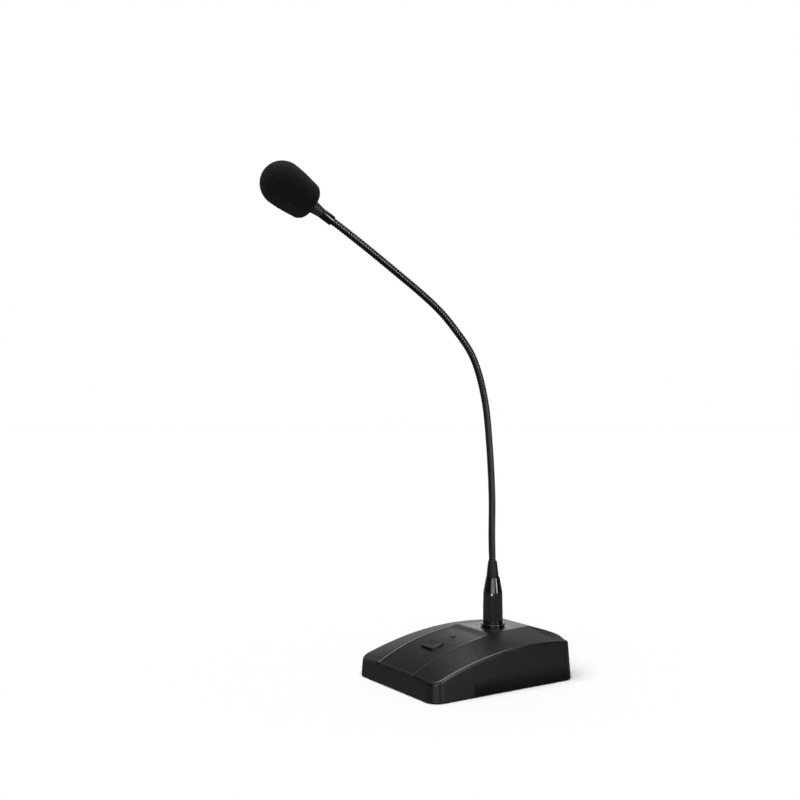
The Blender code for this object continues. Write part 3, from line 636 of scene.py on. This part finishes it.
def combined(form, other, operation="DIFFERENCE"):
    """The Boolean of two closed bmeshes, as a new bmesh."""
    first = helper_object(form)
    second = helper_object(other)
    step = first.modifiers.new("Boolean", "BOOLEAN")
    step.operation = operation
    step.solver = "EXACT"
    step.object = second
    graph = bpy.context.evaluated_depsgraph_get()
    evaluated = first.evaluated_get(graph)
    result = bmesh.new()
    result.from_mesh(evaluated.to_mesh())
    evaluated.to_mesh_clear()
    for obj in (first, second):
        mesh = obj.data
        bpy.data.objects.remove(obj)
        bpy.data.meshes.remove(mesh)
    return result


def piece_object(name, bm, slot, place=(0.0, 0.0, 0.0), rotation=(0.0, 0.0, 0.0), sharp=38.0):
    """The object made of a closed bmesh, in its slot's material and its place at rest."""
    bmesh.ops.remove_doubles(bm, verts=bm.verts, dist=1e-7)
    bmesh.ops.dissolve_degenerate(bm, edges=bm.edges, dist=1e-7)
    bmesh.ops.recalc_face_normals(bm, faces=bm.faces)
    mesh = bpy.data.meshes.new(name)
    bm.to_mesh(mesh)
    bm.free()
    mesh.shade_smooth()
    mesh.set_sharp_from_angle(angle=math.radians(sharp))
    mesh.materials.append(SKINS[slot])
    obj = bpy.data.objects.new(name, mesh)
    bpy.context.scene.collection.objects.link(obj)
    obj.location = place
    obj.rotation_euler = rotation
    return obj


def piece(name, bm, slot, body, node, place=(0.0, 0.0, 0.0), rotation=(0.0, 0.0, 0.0)):
    """A piece that rides on a body and stands for one CAD node."""
    obj = piece_object(name, bm, slot, place, rotation)
    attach(obj, body)
    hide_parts(node)
    return obj


# ---------------------------------------------------------------- base form


def soft_max(a, b, softness):
    return 0.5 * (a + b + math.sqrt((a - b) ** 2 + softness**2))


def smooth(part):
    """0 to 1 as the part goes from 0 to 1, level at both ends."""
    part = max(0.0, min(1.0, part))
    return part**2 * (3.0 - 2.0 * part)


def side_edge_height(y):
    """Height of the walls' top edge."""
    radius = EDGE_FRONT_RADIUS if y < EDGE_TOP_Y else EDGE_REAR_RADIUS
    return soft_max(FRONT_LIP, EDGE_TOP_Z - (y - EDGE_TOP_Y) ** 2 / (2.0 * radius), 0.0004)


def border_height(y):
    """Height of the centre panel's borders, the plateau and the slope behind it."""
    if y > PLATEAU_REAR:
        back = y - PLATEAU_REAR
        return PLATEAU_Z - REAR_FALL * back - back**2 / (2.0 * REAR_RADIUS)
    front = min(0.0, y - PLATEAU_FRONT)
    return PLATEAU_Z + PANEL_FALL * front + PANEL_CURL * front**3


def panel_height(y):
    """Height of the centre panel, which lies a little below its borders."""
    return border_height(y) - PANEL_DIP * smooth((PLATEAU_FRONT - y) / PANEL_DIP_REACH)


def panel_slope(y):
    return math.atan(PANEL_FALL + 3.0 * PANEL_CURL * (y - PLATEAU_FRONT) ** 2)


def panel_half_width(y, limit):
    if y < PLATEAU_FRONT:
        reach = (PLATEAU_FRONT - y) / (PLATEAU_FRONT + BASE_DEPTH / 2)
        return PANEL_HALF_FRONT - (PANEL_HALF_FRONT - PANEL_HALF_REAR) * (1.0 - reach) ** 8
    if y < PLATEAU_REAR:
        reach = (y - PLATEAU_FRONT) / (PLATEAU_REAR - PLATEAU_FRONT)
        return PANEL_HALF_REAR + (PLATEAU_HALF_REAR - PANEL_HALF_REAR) * reach
    reach = (y - PLATEAU_REAR) / (BASE_DEPTH / 2 - PLATEAU_REAR)
    return PLATEAU_HALF_REAR + (limit - PLATEAU_HALF_REAR) * reach


def top_height(x, y, crease, half_width):
    """Height of the top surface: flat centre, soft border, then a slope down to the wall."""
    centre = panel_height(y)
    border = border_height(y)
    side = min(side_edge_height(y), border)
    rise = smooth((abs(x) - crease + PANEL_BEVEL) / (2.0 * PANEL_BEVEL))
    reach = max(0.0, (abs(x) - crease) / (half_width - crease))
    return centre + (border - centre) * rise + (side - border) * reach


def edge_rounding(edge, forward):
    """The top edge's rounding where the wall faces forward by that share."""
    return edge + FRONT_ROLL * max(0.0, forward) if edge else 0.0


def base_rows(inset, edge, spacing, steps):
    """(y, half width) of each row of the top surface, from the front to the rear."""
    core_x = BASE_WIDTH / 2 - BASE_CORNER
    core_y = BASE_DEPTH / 2 - BASE_CORNER
    count = round(2 * core_y / spacing)
    middle = [core_y * (2 * i / count - 1) for i in range(1, count)]
    for crease in (PLATEAU_FRONT, PLATEAU_REAR):
        middle = [y for y in middle if abs(y - crease) > spacing / 2]
        middle += [crease - CREASE_HALF, crease, crease + CREASE_HALF]
    turns = [math.pi / 2 * i / steps for i in range(steps + 1)]
    rows = [(-core_y, -angle) for angle in reversed(turns)]
    rows += [(y, 0.0) for y in sorted(middle)]
    rows += [(core_y, angle) for angle in turns]
    result = []
    for y, angle in rows:
        height = side_edge_height(y + 0.7 * BASE_CORNER * math.sin(angle))
        radius = BASE_CORNER - inset - edge_rounding(edge, -math.sin(angle)) - WALL_DRAFT * height
        result.append((y + radius * math.sin(angle), core_x + radius * math.cos(angle)))
    return result


def base_grid(rows, drop, columns):
    """Rows of points over the top surface; columns counts the steps over centre, border and slope."""
    grid = []
    for y, half_width in rows:
        crease = min(panel_half_width(y, half_width), half_width - 3 * PANEL_BEVEL)
        inner = crease - PANEL_BEVEL
        outer = half_width - crease - PANEL_BEVEL
        right = [inner * (i + 1) / columns[0] for i in range(columns[0])]
        right += [inner + 2 * PANEL_BEVEL * (i + 1) / columns[1] for i in range(columns[1])]
        right += [crease + PANEL_BEVEL + outer * (i + 1) / columns[2] for i in range(columns[2])]
        xs = [-x for x in reversed(right)] + [0.0] + right
        grid.append([Vector((x, y, top_height(x, y, crease, half_width) - drop)) for x in xs])
    return grid


def outward(point):
    """Outward direction of the footprint's outline at a point on it."""
    core_x = BASE_WIDTH / 2 - BASE_CORNER
    core_y = BASE_DEPTH / 2 - BASE_CORNER
    near = Vector((max(-core_x, min(core_x, point.x)), max(-core_y, min(core_y, point.y)), 0.0))
    return (Vector((point.x, point.y, 0.0)) - near).normalized()


def base_form(inset, drop, edge, foot, spacing, steps, columns):
    """The closed form of the base: top grid, rounded edge and drafted walls down to the height foot."""
    bm = bmesh.new()
    points = base_grid(base_rows(inset, edge, spacing, steps), drop, columns)
    grid = [[bm.verts.new(point) for point in row] for row in points]
    for low, high in zip(grid, grid[1:]):
        for i in range(len(low) - 1):
            bm.faces.new((low[i], low[i + 1], high[i + 1], high[i]))
    rim = grid[0] + [row[-1] for row in grid[1:]] + grid[-1][-2::-1] + [row[0] for row in grid[-2:0:-1]]
    rings = [rim]
    for angle in [math.pi / 2 * i / 7 for i in range(1, 8)] if edge else []:
        ring = []
        for v in rim:
            out = outward(v.co)
            rounding = edge_rounding(edge, -out.y)
            down = Vector((0.0, 0.0, rounding * (1.0 - math.cos(angle))))
            ring.append(bm.verts.new(v.co + out * rounding * math.sin(angle) - down))
        rings.append(ring)
    shoulder = rings[-1]
    for share, inwards in ((0.05, 0.0), (0.5, 0.0), (0.985, 0.0), (1.0, 0.0003 if edge else 0.0)):
        ring = []
        for v in shoulder:
            height = v.co.z + (foot - v.co.z) * share
            out = outward(v.co) * (WALL_DRAFT * (v.co.z - height) - inwards)
            ring.append(bm.verts.new((v.co.x + out.x, v.co.y + out.y, height)))
        rings.append(ring)
    for upper, lower in zip(rings, rings[1:]):
        ring_faces(bm, lower, upper)
    bm.faces.new(rings[-1])
    return bm


def corners(x, y):
    return [(sx * x, sy * y) for sx in (-1, 1) for sy in (-1, 1)]


def panel_frame(y):
    """Place and rotation of a piece that stands square to the centre panel."""
    return Vector((0.0, y, panel_height(y))), (panel_slope(y), 0.0, 0.0)


# ---------------------------------------------------------------- base pieces


def screw_boss(x, y):
    half_width = BASE_WIDTH / 2 - WALL_DRAFT * side_edge_height(y)
    crease = panel_half_width(y, half_width)
    top = top_height(x, y, crease, half_width) - 0.0020
    return moved(disc(0.0038, PLATE_THICKNESS + GAP, top, 20), (x, y, 0.0))


def discs(radius, low, high, sides, places):
    """One disc at each (x, y) of the places."""
    return [moved(disc(radius, low, high, sides), (x, y, 0.0)) for x, y in places]


def make_housing():
    shell = base_form(0.0, 0.0, BASE_EDGE, 0.0, 0.0024, 12, (8, 6, 18))
    cavity = base_form(BASE_WALL, BASE_WALL, 0.0, -0.001, 0.012, 4, (2, 2, 4))
    shell = combined(shell, cavity)
    shell = combined(shell, merged(*[screw_boss(x, y) for x, y in corners(SCREW_X, SCREW_Y)]), "UNION")
    holes = discs(0.0017, 0.0, 0.0125, 16, corners(SCREW_X, SCREW_Y))
    holes.append(moved(disc(SOCKET_OUTER + GAP, 0.030, 0.055, 64), (0.0, PLUG_Y, 0.0)))
    hole = rounded_outline(BUTTON_SIZE[0] + 2 * BUTTON_GAP, BUTTON_SIZE[1] + 2 * BUTTON_GAP, 0.0030)
    holes.append(moved(stacked([(hole, -0.008), (hole, 0.008)]), *panel_frame(BUTTON_Y)))
    holes.append(moved(disc(BEZEL_RADIUS + GAP / 3, -0.008, 0.008, 32), *panel_frame(LED_Y)))
    holes.append(moved(disc(OUTPUT_BARREL + GAP, -0.008, 0.006, 48), *output_frame()))
    for x, y in output_screw_places():
        place, rotation = output_frame()
        holes.append(moved(moved(disc(0.0017, -0.008, 0.006, 16), (x, y, 0.0)), place, rotation))
    shell = combined(shell, merged(*holes))
    piece("base_shell", shell, "housing_plastic", "base", "base_housing")


def make_plate():
    inset = BASE_WALL + 2 * GAP
    width = BASE_WIDTH - 2 * inset
    depth = BASE_DEPTH - 2 * inset
    radius = BASE_CORNER - inset
    chamfer = 0.0003
    inner = rounded_outline(width - 2 * chamfer, depth - 2 * chamfer, radius - chamfer)
    outer = rounded_outline(width, depth, radius)
    plate = stacked([(inner, 0.0), (outer, chamfer), (outer, PLATE_THICKNESS)])
    holes = discs(0.0033, -0.001, 0.0013, 32, corners(SCREW_X, SCREW_Y))
    holes += discs(FOOT_RADIUS + GAP, -0.001, 0.0009, 48, corners(FOOT_X, FOOT_Y))
    plate = combined(plate, merged(*holes))
    shanks = discs(0.0018, 0.0005, 0.004, 20, corners(SCREW_X, SCREW_Y))
    plate = combined(plate, merged(*shanks))
    piece("base_plate_painted", plate, "plate_paint", "base", "base_plate")


def cross_recess(reach, width, depth):
    """The cutter of a cross recess that goes down from z = 0."""
    arms = []
    for size in ((2 * reach, width), (width, 2 * reach)):
        top = rounded_outline(*size, width * 0.3, 2)
        bottom = [point * 0.7 for point in top]
        arms.append(stacked([(bottom, -depth), (top, 0.0005)]))
    return combined(*arms, "UNION")


def make_feet_and_screws():
    for i, (x, y) in enumerate(corners(FOOT_X, FOOT_Y), 1):
        outline = [(0.0, -FOOT_DROP + 0.0003, 0.0), (0.0030, -FOOT_DROP + 0.0003, 0.0003)]
        outline += [(0.0034, -FOOT_DROP, 0.0002), (FOOT_RADIUS, -FOOT_DROP, 0.0007)]
        outline += [(FOOT_RADIUS, 0.0006, 0.0), (0.0, 0.0006, 0.0)]
        piece(f"foot_{i}", turned(filleted(outline), 40), "rubber", "base", f"rubber_foot_{i}", (x, y, 0.0))
    for i, (x, y) in enumerate(corners(SCREW_X, SCREW_Y), 1):
        outline = [(0.0, 0.0002, 0.0), (0.0028, 0.0002, 0.0006), (0.0028, 0.0011, 0.0)]
        outline += [(0.0014, 0.0011, 0.0002), (0.0014, 0.0110, 0.0003), (0.0, 0.0115, 0.0)]
        recess = moved(cross_recess(0.0015, 0.0006, 0.0007), (0.0, 0.0, 0.0002), (math.pi, 0.0, 0.0))
        screw = combined(turned(filleted(outline), 32), recess)
        piece(f"plate_screw_{i}", screw, "screw_steel", "base", f"base_screw_{i}", (x, y, 0.0))


def make_button():
    size = (*BUTTON_SIZE, BUTTON_HEIGHT)
    cap = soft_block(size, 0.0025, BUTTON_PROUD - BUTTON_HEIGHT, BUTTON_EDGE, BUTTON_DISH)
    stem = disc(0.0020, -0.0085, BUTTON_PROUD - BUTTON_HEIGHT + 0.0015, 24)
    place, rotation = panel_frame(BUTTON_Y)
    button = combined(cap, stem, "UNION")
    piece("talk_button", button, "button_plastic", "button", "switch_button", place, rotation)


def make_indicator():
    place, rotation = panel_frame(LED_Y)
    inner = LED_RADIUS + 0.0001
    outline = [(inner, -0.0040, 0.0), (BEZEL_RADIUS, -0.0040, 0.0), (BEZEL_RADIUS, 0.0005, 0.0003)]
    outline += [(inner + 0.0002, 0.0005, 0.0002), (inner, 0.0001, 0.0001)]
    bezel = turned(filleted(outline), 40)
    piece("indicator_bezel", bezel, "insert_plastic", "base", "led_bezel", place, rotation)
    radius = LED_RADIUS - 0.0001
    lens = [Vector((0.0, -0.0060)), Vector((radius, -0.0060))]
    lens += arc((0.0, 0.0002), radius, 0.0, 80.0, 8) + [Vector((0.0, 0.0002 + radius))]
    piece("indicator_lens", turned(lens, 32), "led_red", "base", "led_lens", place, rotation)


# ---------------------------------------------------------------- connectors


def pin_places():
    angles = [math.radians(angle) for angle in (60.0, 180.0, 300.0)]
    return [(PIN_CIRCLE * math.cos(angle), PIN_CIRCLE * math.sin(angle)) for angle in angles]


def drilled(form, radius, low, high):
    """The form with the three holes of its contacts."""
    return combined(form, merged(*discs(radius, low, high, 20, pin_places())))


def insert_form(radius, low, high, edge):
    outline = [(0.0, low, 0.0), (radius, low, edge), (radius, high, edge), (0.0, high, 0.0)]
    return turned(filleted(outline), 48)


def make_socket():
    top = PLATEAU_Z
    floor = top - SOCKET_DEPTH
    outline = [(0.0, floor - 0.0020, 0.0), (SOCKET_OUTER, floor - 0.0020, 0.0004)]
    outline += [(SOCKET_OUTER, top + GAP, 0.0), (0.0104, top + GAP, 0.0002), (0.0104, top + 0.0013, 0.0003)]
    outline += [(SOCKET_FLANGE, top + 0.0014, 0.0003), (SOCKET_FLANGE, top + 0.0026, 0.0006)]
    outline += [(0.0102, top + 0.0028, 0.0002), (SOCKET_BORE, top + 0.0024, 0.0002)]
    outline += [(SOCKET_BORE, floor + 0.0008, 0.0), (0.0, floor + 0.0008, 0.0)]
    place = (0.0, PLUG_Y, 0.0)
    piece("plateau_socket", turned(filleted(outline), 72), "black_metal", "base", "socket_collar", place)
    low = floor + 0.0008 + GAP
    insert = insert_form(INSERT_RADIUS, low, top - 0.0010, 0.0004)
    insert = drilled(insert, CONTACT_RADIUS, low + 0.001, top + 0.005)
    piece("socket_contacts", insert, "insert_plastic", "base", "socket_insert", place)


def plug_outline():
    top = PLUG_TOP_Z
    outline = [(PLUG_BORE, PLUG_LIP_Z, 0.0003), (PLUG_OUTER, PLUG_LIP_Z, 0.0005)]
    outline += [(PLUG_OUTER, 0.0560, 0.004), (PLUG_SHOULDER, PLUG_TAPER_Z + 0.0012, 0.0014)]
    outline += [(0.0066, top - 0.0010, 0.0005), (0.0061, top, 0.0003), (0.0040, top, 0.0)]
    outline += [(0.0040, top - 0.0060, 0.0), (PLUG_BORE, PLUG_TAPER_Z - 0.0020, 0.0)]
    return outline


def make_plug():
    place = (0.0, PLUG_Y, 0.0)
    turn = (0.0, math.pi / 2, 0.0)
    aside = Matrix.Rotation(SET_SCREW_ANGLE, 3, "Z")
    hole = moved(disc(0.0016, 0.0070, 0.0110, 28), (0.0, 0.0, SET_SCREW_Z), turn)
    bmesh.ops.rotate(hole, verts=hole.verts, matrix=aside)
    shell = combined(turned(filleted(plug_outline()), 72), hole)
    piece("plug_body", shell, "black_metal", "plug", "plug_shell", place)
    outline = [(0.0, 0.0068, 0.0), (0.00125, 0.0068, 0.0), (0.00125, 0.0090, 0.0003), (0.0, 0.0090, 0.0)]
    key = disc(0.00062, 0.0080, 0.0095, 6)
    screw = combined(turned(filleted(outline), 28), key)
    moved(screw, (0.0, 0.0, SET_SCREW_Z), turn)
    bmesh.ops.rotate(screw, verts=screw.verts, matrix=aside)
    piece("set_screw", screw, "chrome", "plug", "plug_set_screw", place)
    low = PLATEAU_Z
    insert = insert_form(PLUG_BORE - GAP, low, low + 0.0080, 0.0003)
    insert = drilled(insert, PIN_RADIUS + GAP / 2, low - 0.001, low + 0.009)
    piece("plug_contacts", insert, "insert_plastic", "plug", "plug_insert", place)
    for i, (x, y) in enumerate(pin_places(), 1):
        outline = [(0.0, low - 0.0130, 0.0), (PIN_RADIUS, low - 0.0130, 0.0010)]
        outline += [(PIN_RADIUS, low + 0.0110, 0.0), (0.0, low + 0.0110, 0.0)]
        pin = turned(filleted(outline), 24)
        piece(f"plug_contact_pin_{i}", pin, "contact_brass", "plug", f"plug_pin_{i}", (x, PLUG_Y + y, 0.0))


def make_boot():
    """The rubber sleeve that grips the gooseneck where it leaves the plug."""
    clear = NECK_RADIUS + GAP / 2
    low = PLUG_TOP_Z + GAP / 3
    outline = [(clear, low, 0.0), (0.0058, low, 0.0002), (0.0056, PLUG_TOP_Z + 0.0030, 0.003)]
    outline += [(0.0042, BOOT_TOP_Z, 0.0004), (clear, BOOT_TOP_Z, 0.0001)]
    place = (0.0, NECK_ROUTE[0][0] - 0.00015, 0.0)
    piece("neck_boot", turned(filleted(outline), 48), "rubber", "plug", "plug_boot", place)


def output_frame():
    """Place and rotation of the output connector: its Z axis points out of the rear wall."""
    y = BASE_DEPTH / 2 - WALL_DRAFT * OUTPUT_Z
    return (0.0, y, OUTPUT_Z), (-math.pi / 2 + OUTPUT_TILT, 0.0, 0.0)


def output_screw_places():
    return [(-0.0095, 0.0120), (0.0095, -0.0120)]


def make_output():
    place, rotation = output_frame()
    width, depth, height = OUTPUT_FLANGE
    flange = soft_block((width, depth, height), 0.003, GAP, 0.0005)
    rim = [(0.0, -0.0170, 0.0), (OUTPUT_BARREL, -0.0170, 0.0004)]
    rim += [(OUTPUT_BARREL, height + GAP + 0.0002, 0.0003)]
    rim += [(0.0094, height + GAP + 0.0004, 0.0002), (0.0, height + GAP + 0.0004, 0.0)]
    shell = combined(flange, turned(filleted(rim), 64), "UNION")
    bore = merged(disc(0.0082, -0.0150, 0.0050, 64))
    shell = combined(shell, bore)
    keyway = rounded_outline(0.0022, 0.0034, 0.0005)
    key = stacked([(keyway, -0.0100), (keyway, 0.005)])
    shell = combined(shell, moved(key, (0.0, 0.0075, 0.0)))
    shell = combined(shell, merged(*discs(0.0017, -0.002, 0.005, 20, output_screw_places())))
    piece("output_socket", shell, "black_metal", "base", "output_shell", place, rotation)
    insert = drilled(insert_form(0.0079, -0.0147, -0.0117, 0.0003), PIN_RADIUS + GAP / 2, -0.020, -0.010)
    piece("output_contacts", insert, "insert_plastic", "base", "output_insert", place, rotation)
    for i, (x, y) in enumerate(pin_places(), 1):
        outline = [(0.0, -0.0145, 0.0), (PIN_RADIUS, -0.0145, 0.0)]
        outline += [(PIN_RADIUS, -0.0010, 0.0010), (0.0, -0.0010, 0.0)]
        pin = moved(turned(filleted(outline), 24), (x, y, 0.0))
        piece(f"output_contact_pin_{i}", pin, "chrome", "base", f"output_pin_{i}", place, rotation)
    for i, (x, y) in enumerate(output_screw_places(), 1):
        low = height + 2 * GAP
        outline = [(0.0, -0.0060, 0.0), (0.0013, -0.0060, 0.0002), (0.0013, low, 0.0)]
        outline += [(0.0026, low, 0.0002), (0.0026, low + 0.0015, 0.0009), (0.0, low + 0.0016, 0.0)]
        recess = moved(cross_recess(0.0014, 0.0006, 0.0009), (0.0, 0.0, low + 0.0016))
        screw = moved(combined(turned(filleted(outline), 32), recess), (x, y, 0.0))
        name = f"output_flange_screw_{i}"
        piece(name, screw, "screw_steel", "base", f"output_screw_{i}", place, rotation)


# ---------------------------------------------------------------- gooseneck


def route_point(index, part):
    """A point on the smooth curve through the gooseneck's route."""
    points = [Vector((0.0, y, z)) for y, z in NECK_ROUTE]
    points = [2 * points[0] - points[1]] + points + [2 * points[-1] - points[-2]]
    a, b, c, d = points[index : index + 4]
    bend = (2 * a - 5 * b + 4 * c - d) * part**2
    twist = (3 * b - a - 3 * c + d) * part**3
    return 0.5 * (2 * b + (c - a) * part + bend + twist)


def measured_route(steps=40):
    """Points along the gooseneck, each with its distance from the start."""
    points = [route_point(i, j / steps) for i in range(len(NECK_ROUTE) - 1) for j in range(steps)]
    points.append(route_point(len(NECK_ROUTE) - 2, 1.0))
    measured = [(0.0, points[0])]
    for point in points[1:]:
        measured.append((measured[-1][0] + (point - measured[-1][1]).length, point))
    return measured


def neck_point(distance):
    for (near, start), (far, end) in zip(ROUTE, ROUTE[1:]):
        if distance <= far:
            break
    return start.lerp(end, (distance - near) / (far - near))


def neck_at(distance):
    """Centre and direction of the gooseneck at a distance along it."""
    reach = 0.0015
    length = ROUTE[-1][0]
    ahead = neck_point(min(length, distance + reach))
    behind = neck_point(max(0.0, distance - reach))
    return neck_point(distance), (ahead - behind).normalized()


def pivot_distances():
    last = ROUTE[-1][0] - NECK_HIDDEN
    return [NECK_START + (last - NECK_START) * (i + 0.5) / PIVOTS for i in range(PIVOTS)]


def wire_radius(phase):
    """Radius of the wound surface at a phase of its turn: a round wire, then the flatter one beside it."""
    aside = abs(phase % 1.0 - 0.5) * NECK_PITCH
    flat = NECK_RADIUS - FLAT_WIRE_DEPTH
    if aside >= ROUND_WIRE:
        return flat
    crown = NECK_RADIUS - ROUND_WIRE + math.sqrt(ROUND_WIRE**2 - aside**2)
    return max(flat, crown)


def wound_sleeve(start, end):
    """The closed bmesh of a stretch of the gooseneck, with its bore."""
    bm = bmesh.new()
    count = max(2, round((end - start) / NECK_PITCH * RINGS_PER_TURN))
    across = Vector((1.0, 0.0, 0.0))
    rings = []
    for i in range(count + 1):
        distance = start + (end - start) * i / count
        centre, direction = neck_at(distance)
        up = direction.cross(across)
        ring = []
        for j in range(NECK_SIDES):
            angle = TURN * j / NECK_SIDES
            spoke = across * math.cos(angle) + up * math.sin(angle)
            radius = wire_radius(distance / NECK_PITCH - j / NECK_SIDES)
            ring.append(bm.verts.new(centre + spoke * radius))
        rings.append(ring)
    bore = []
    for i in range(0, 13):
        centre, direction = neck_at(start + (end - start) * i / 12)
        up = direction.cross(across)
        ring = []
        for j in range(NECK_SIDES):
            angle = TURN * j / NECK_SIDES
            spoke = across * math.cos(angle) + up * math.sin(angle)
            ring.append(bm.verts.new(centre + spoke * NECK_BORE))
        bore.append(ring)
    sheets = rings + bore[::-1]
    for low, high in zip(sheets, sheets[1:] + sheets[:1]):
        ring_faces(bm, low, high)
    return bm


def make_gooseneck():
    """Eight sleeves, each from the middle of one rigid segment to the middle of the next."""
    pivots = pivot_distances()
    middles = [(near + far) / 2 for near, far in zip(pivots, pivots[1:])]
    starts = [0.0] + middles
    ends = middles + [ROUTE[-1][0]]
    for i in range(PIVOTS):
        winding = wound_sleeve(starts[i], ends[i])
        sleeve = piece_object(f"gooseneck_sleeve_{i + 1}", winding, "gooseneck_steel", sharp=60.0)
        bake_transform(sleeve)
        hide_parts(f"gooseneck_segment_{i + 1}")
    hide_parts(f"gooseneck_segment_{PIVOTS + 1}")


# ---------------------------------------------------------------- head


def head_piece(name, bm, slot, node):
    return piece(name, bm, slot, "head", node, HEAD_BASE, (math.pi / 2 - HEAD_TILT, 0.0, 0.0))


def make_head():
    clear = NECK_RADIUS + GAP / 2
    outline = [(clear, 0.0, 0.0001), (0.0045, 0.0, 0.0004), (0.0045, COLLAR_LENGTH, 0.0003)]
    outline += [(clear, COLLAR_LENGTH, 0.0)]
    head_piece("neck_end_collar", turned(filleted(outline), 48), "black_metal", "neck_collar")
    start = CAPSULE_START
    outline = [(0.0028, start, 0.0), (0.0044, start, 0.0003), (0.0047, start + 0.0022, 0.001)]
    outline += [(0.0061, FOAM_START, 0.001), (0.0062, CAPSULE_RIM, 0.0003), (0.0056, CAPSULE_RIM, 0.0)]
    outline += [(0.0054, FOAM_START + 0.0020, 0.0), (0.0028, start + 0.0060, 0.0)]
    head_piece("capsule_barrel", turned(filleted(outline), 48), "matte_metal", "capsule_housing")
    seat = FOAM_START + 0.0090
    outline = [(0.0046, seat, 0.0002), (0.0051, seat, 0.0002), (0.0051, seat + 0.0080, 0.0002)]
    outline += [(0.0046, seat + 0.0080, 0.0002)]
    head_piece("capsule_seat", turned(filleted(outline), 32), "rubber", "capsule_holder")
    outline = [(0.0, seat + 0.0010, 0.0), (0.0043, seat + 0.0010, 0.0003), (0.0043, seat + 0.0065, 0.0004)]
    outline += [(0.0030, seat + 0.0063, 0.0002), (0.0, seat + 0.0063, 0.0)]
    head_piece("capsule_can", turned(filleted(outline), 40), "capsule_aluminium", "capsule_element")


def grille_holes():
    """Cutters of the grille's perforations, on rings about the head's axis."""
    holes = []
    for ring, count in ((0.0, 1), (0.0013, 6), (0.0026, 12), (0.0039, 18)):
        for i in range(count):
            angle = TURN * i / count
            place = (ring * math.cos(angle), ring * math.sin(angle), GRILLE_START)
            holes.append(moved(disc(0.00042, 0.0005, 0.0060, 10), place))
    return merged(*holes)


def make_grille():
    rim = GRILLE_START
    grille = [Vector((0.0052, rim)), Vector((0.0061, rim))]
    grille += arc((0.0040, rim + 0.0015), 0.0021, 0.0, 90.0, 8)
    grille += [Vector(pair) for pair in ((0.0, rim + 0.0036), (0.0, rim + 0.0027), (0.0040, rim + 0.0027))]
    grille += [Vector((0.0052, rim + 0.0015))]
    cap = combined(turned(grille, 48), grille_holes())
    head_piece("capsule_grille_cap", cap, "black_metal", "capsule_grille")


def foam_profile():
    end = FOAM_START + FOAM_LENGTH
    equator = end - FOAM_RADIUS
    profile = [Vector((FOAM_BORE, FOAM_START + 0.0008)), Vector((FOAM_BORE + 0.0004, FOAM_START + 0.0002))]
    profile += [Vector((FOAM_BORE + (0.0087 - FOAM_BORE) * i / 5, FOAM_START)) for i in range(1, 5)]
    shoulder = (FOAM_NECK_RADIUS - FOAM_SHOULDER, FOAM_START + FOAM_SHOULDER)
    profile += arc(shoulder, FOAM_SHOULDER, -90.0, 0.0, 26)
    low = profile[-1]
    high = Vector((FOAM_RADIUS, equator))
    for i in range(1, 44):
        part = i / 44
        swell = math.sin(part * math.pi / 2)
        profile.append(Vector((low.x + (high.x - low.x) * swell, low.y + (high.y - low.y) * part)))
    profile += arc((0.0, equator), FOAM_RADIUS, 0.0, 88.6, 62)
    return profile + [Vector((0.0, end))]


def foam_offset(point):
    """Depth of the foam's open cells at a point: coarse mottling and the cells themselves."""
    mottling = noise.noise(point * 420.0) * 0.00010
    cells = noise.voronoi(point * 900.0)[0][0]
    return mottling - 0.00022 * max(0.0, 0.55 - cells)


def make_windscreen():
    inside = [Vector((0.0, FOAM_DEPTH)), Vector((FOAM_BORE, FOAM_DEPTH - 0.0010))]
    bm = turned(foam_profile() + inside, 208)
    bm.normal_update()
    bore = FOAM_BORE + 0.0003
    past_bore = FOAM_DEPTH + 0.0030
    open_cells = [v for v in bm.verts if v.co.xy.length > bore or v.co.z > past_bore]
    shifts = [(v, v.normal * foam_offset(v.co)) for v in open_cells]
    for v, shift in shifts:
        v.co += shift
    place = HEAD_BASE
    rotation = (math.pi / 2 - HEAD_TILT, 0.0, 0.0)
    foam = piece("windscreen", bm, "foam", "windscreen", "foam_windscreen", place, rotation)


# ---------------------------------------------------------------- carried-over nodes


def dress_carried_nodes():
    """The inner nodes keep their CAD shape, in detailed materials."""
    skins = {
        "ballast_weight": "cast_iron",
        "switch_body": "insert_plastic",
        "circuit_board": "circuit_board_green",
        "capacitor": "capacitor_sleeve",
        "audio_transformer": "cast_iron",
        "socket_lead": "rubber",
        "output_lead": "rubber",
    }
    skins.update({f"neck_cable_{i}": "rubber" for i in range(1, PIVOTS + 2)})
    for node, slot in skins.items():
        for material_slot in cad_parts[node].material_slots:
            material_slot.material = SKINS[slot]


make_camera()
make_floor()
make_world()
make_lights()
bpy.context.scene.view_settings.view_transform = "Standard"

SKINS = make_skins()
ROUTE = measured_route()
make_housing()
make_plate()
make_feet_and_screws()
make_button()
make_indicator()
make_socket()
make_plug()
make_boot()
make_output()
make_gooseneck()
make_head()
make_grille()
make_windscreen()
dress_carried_nodes()
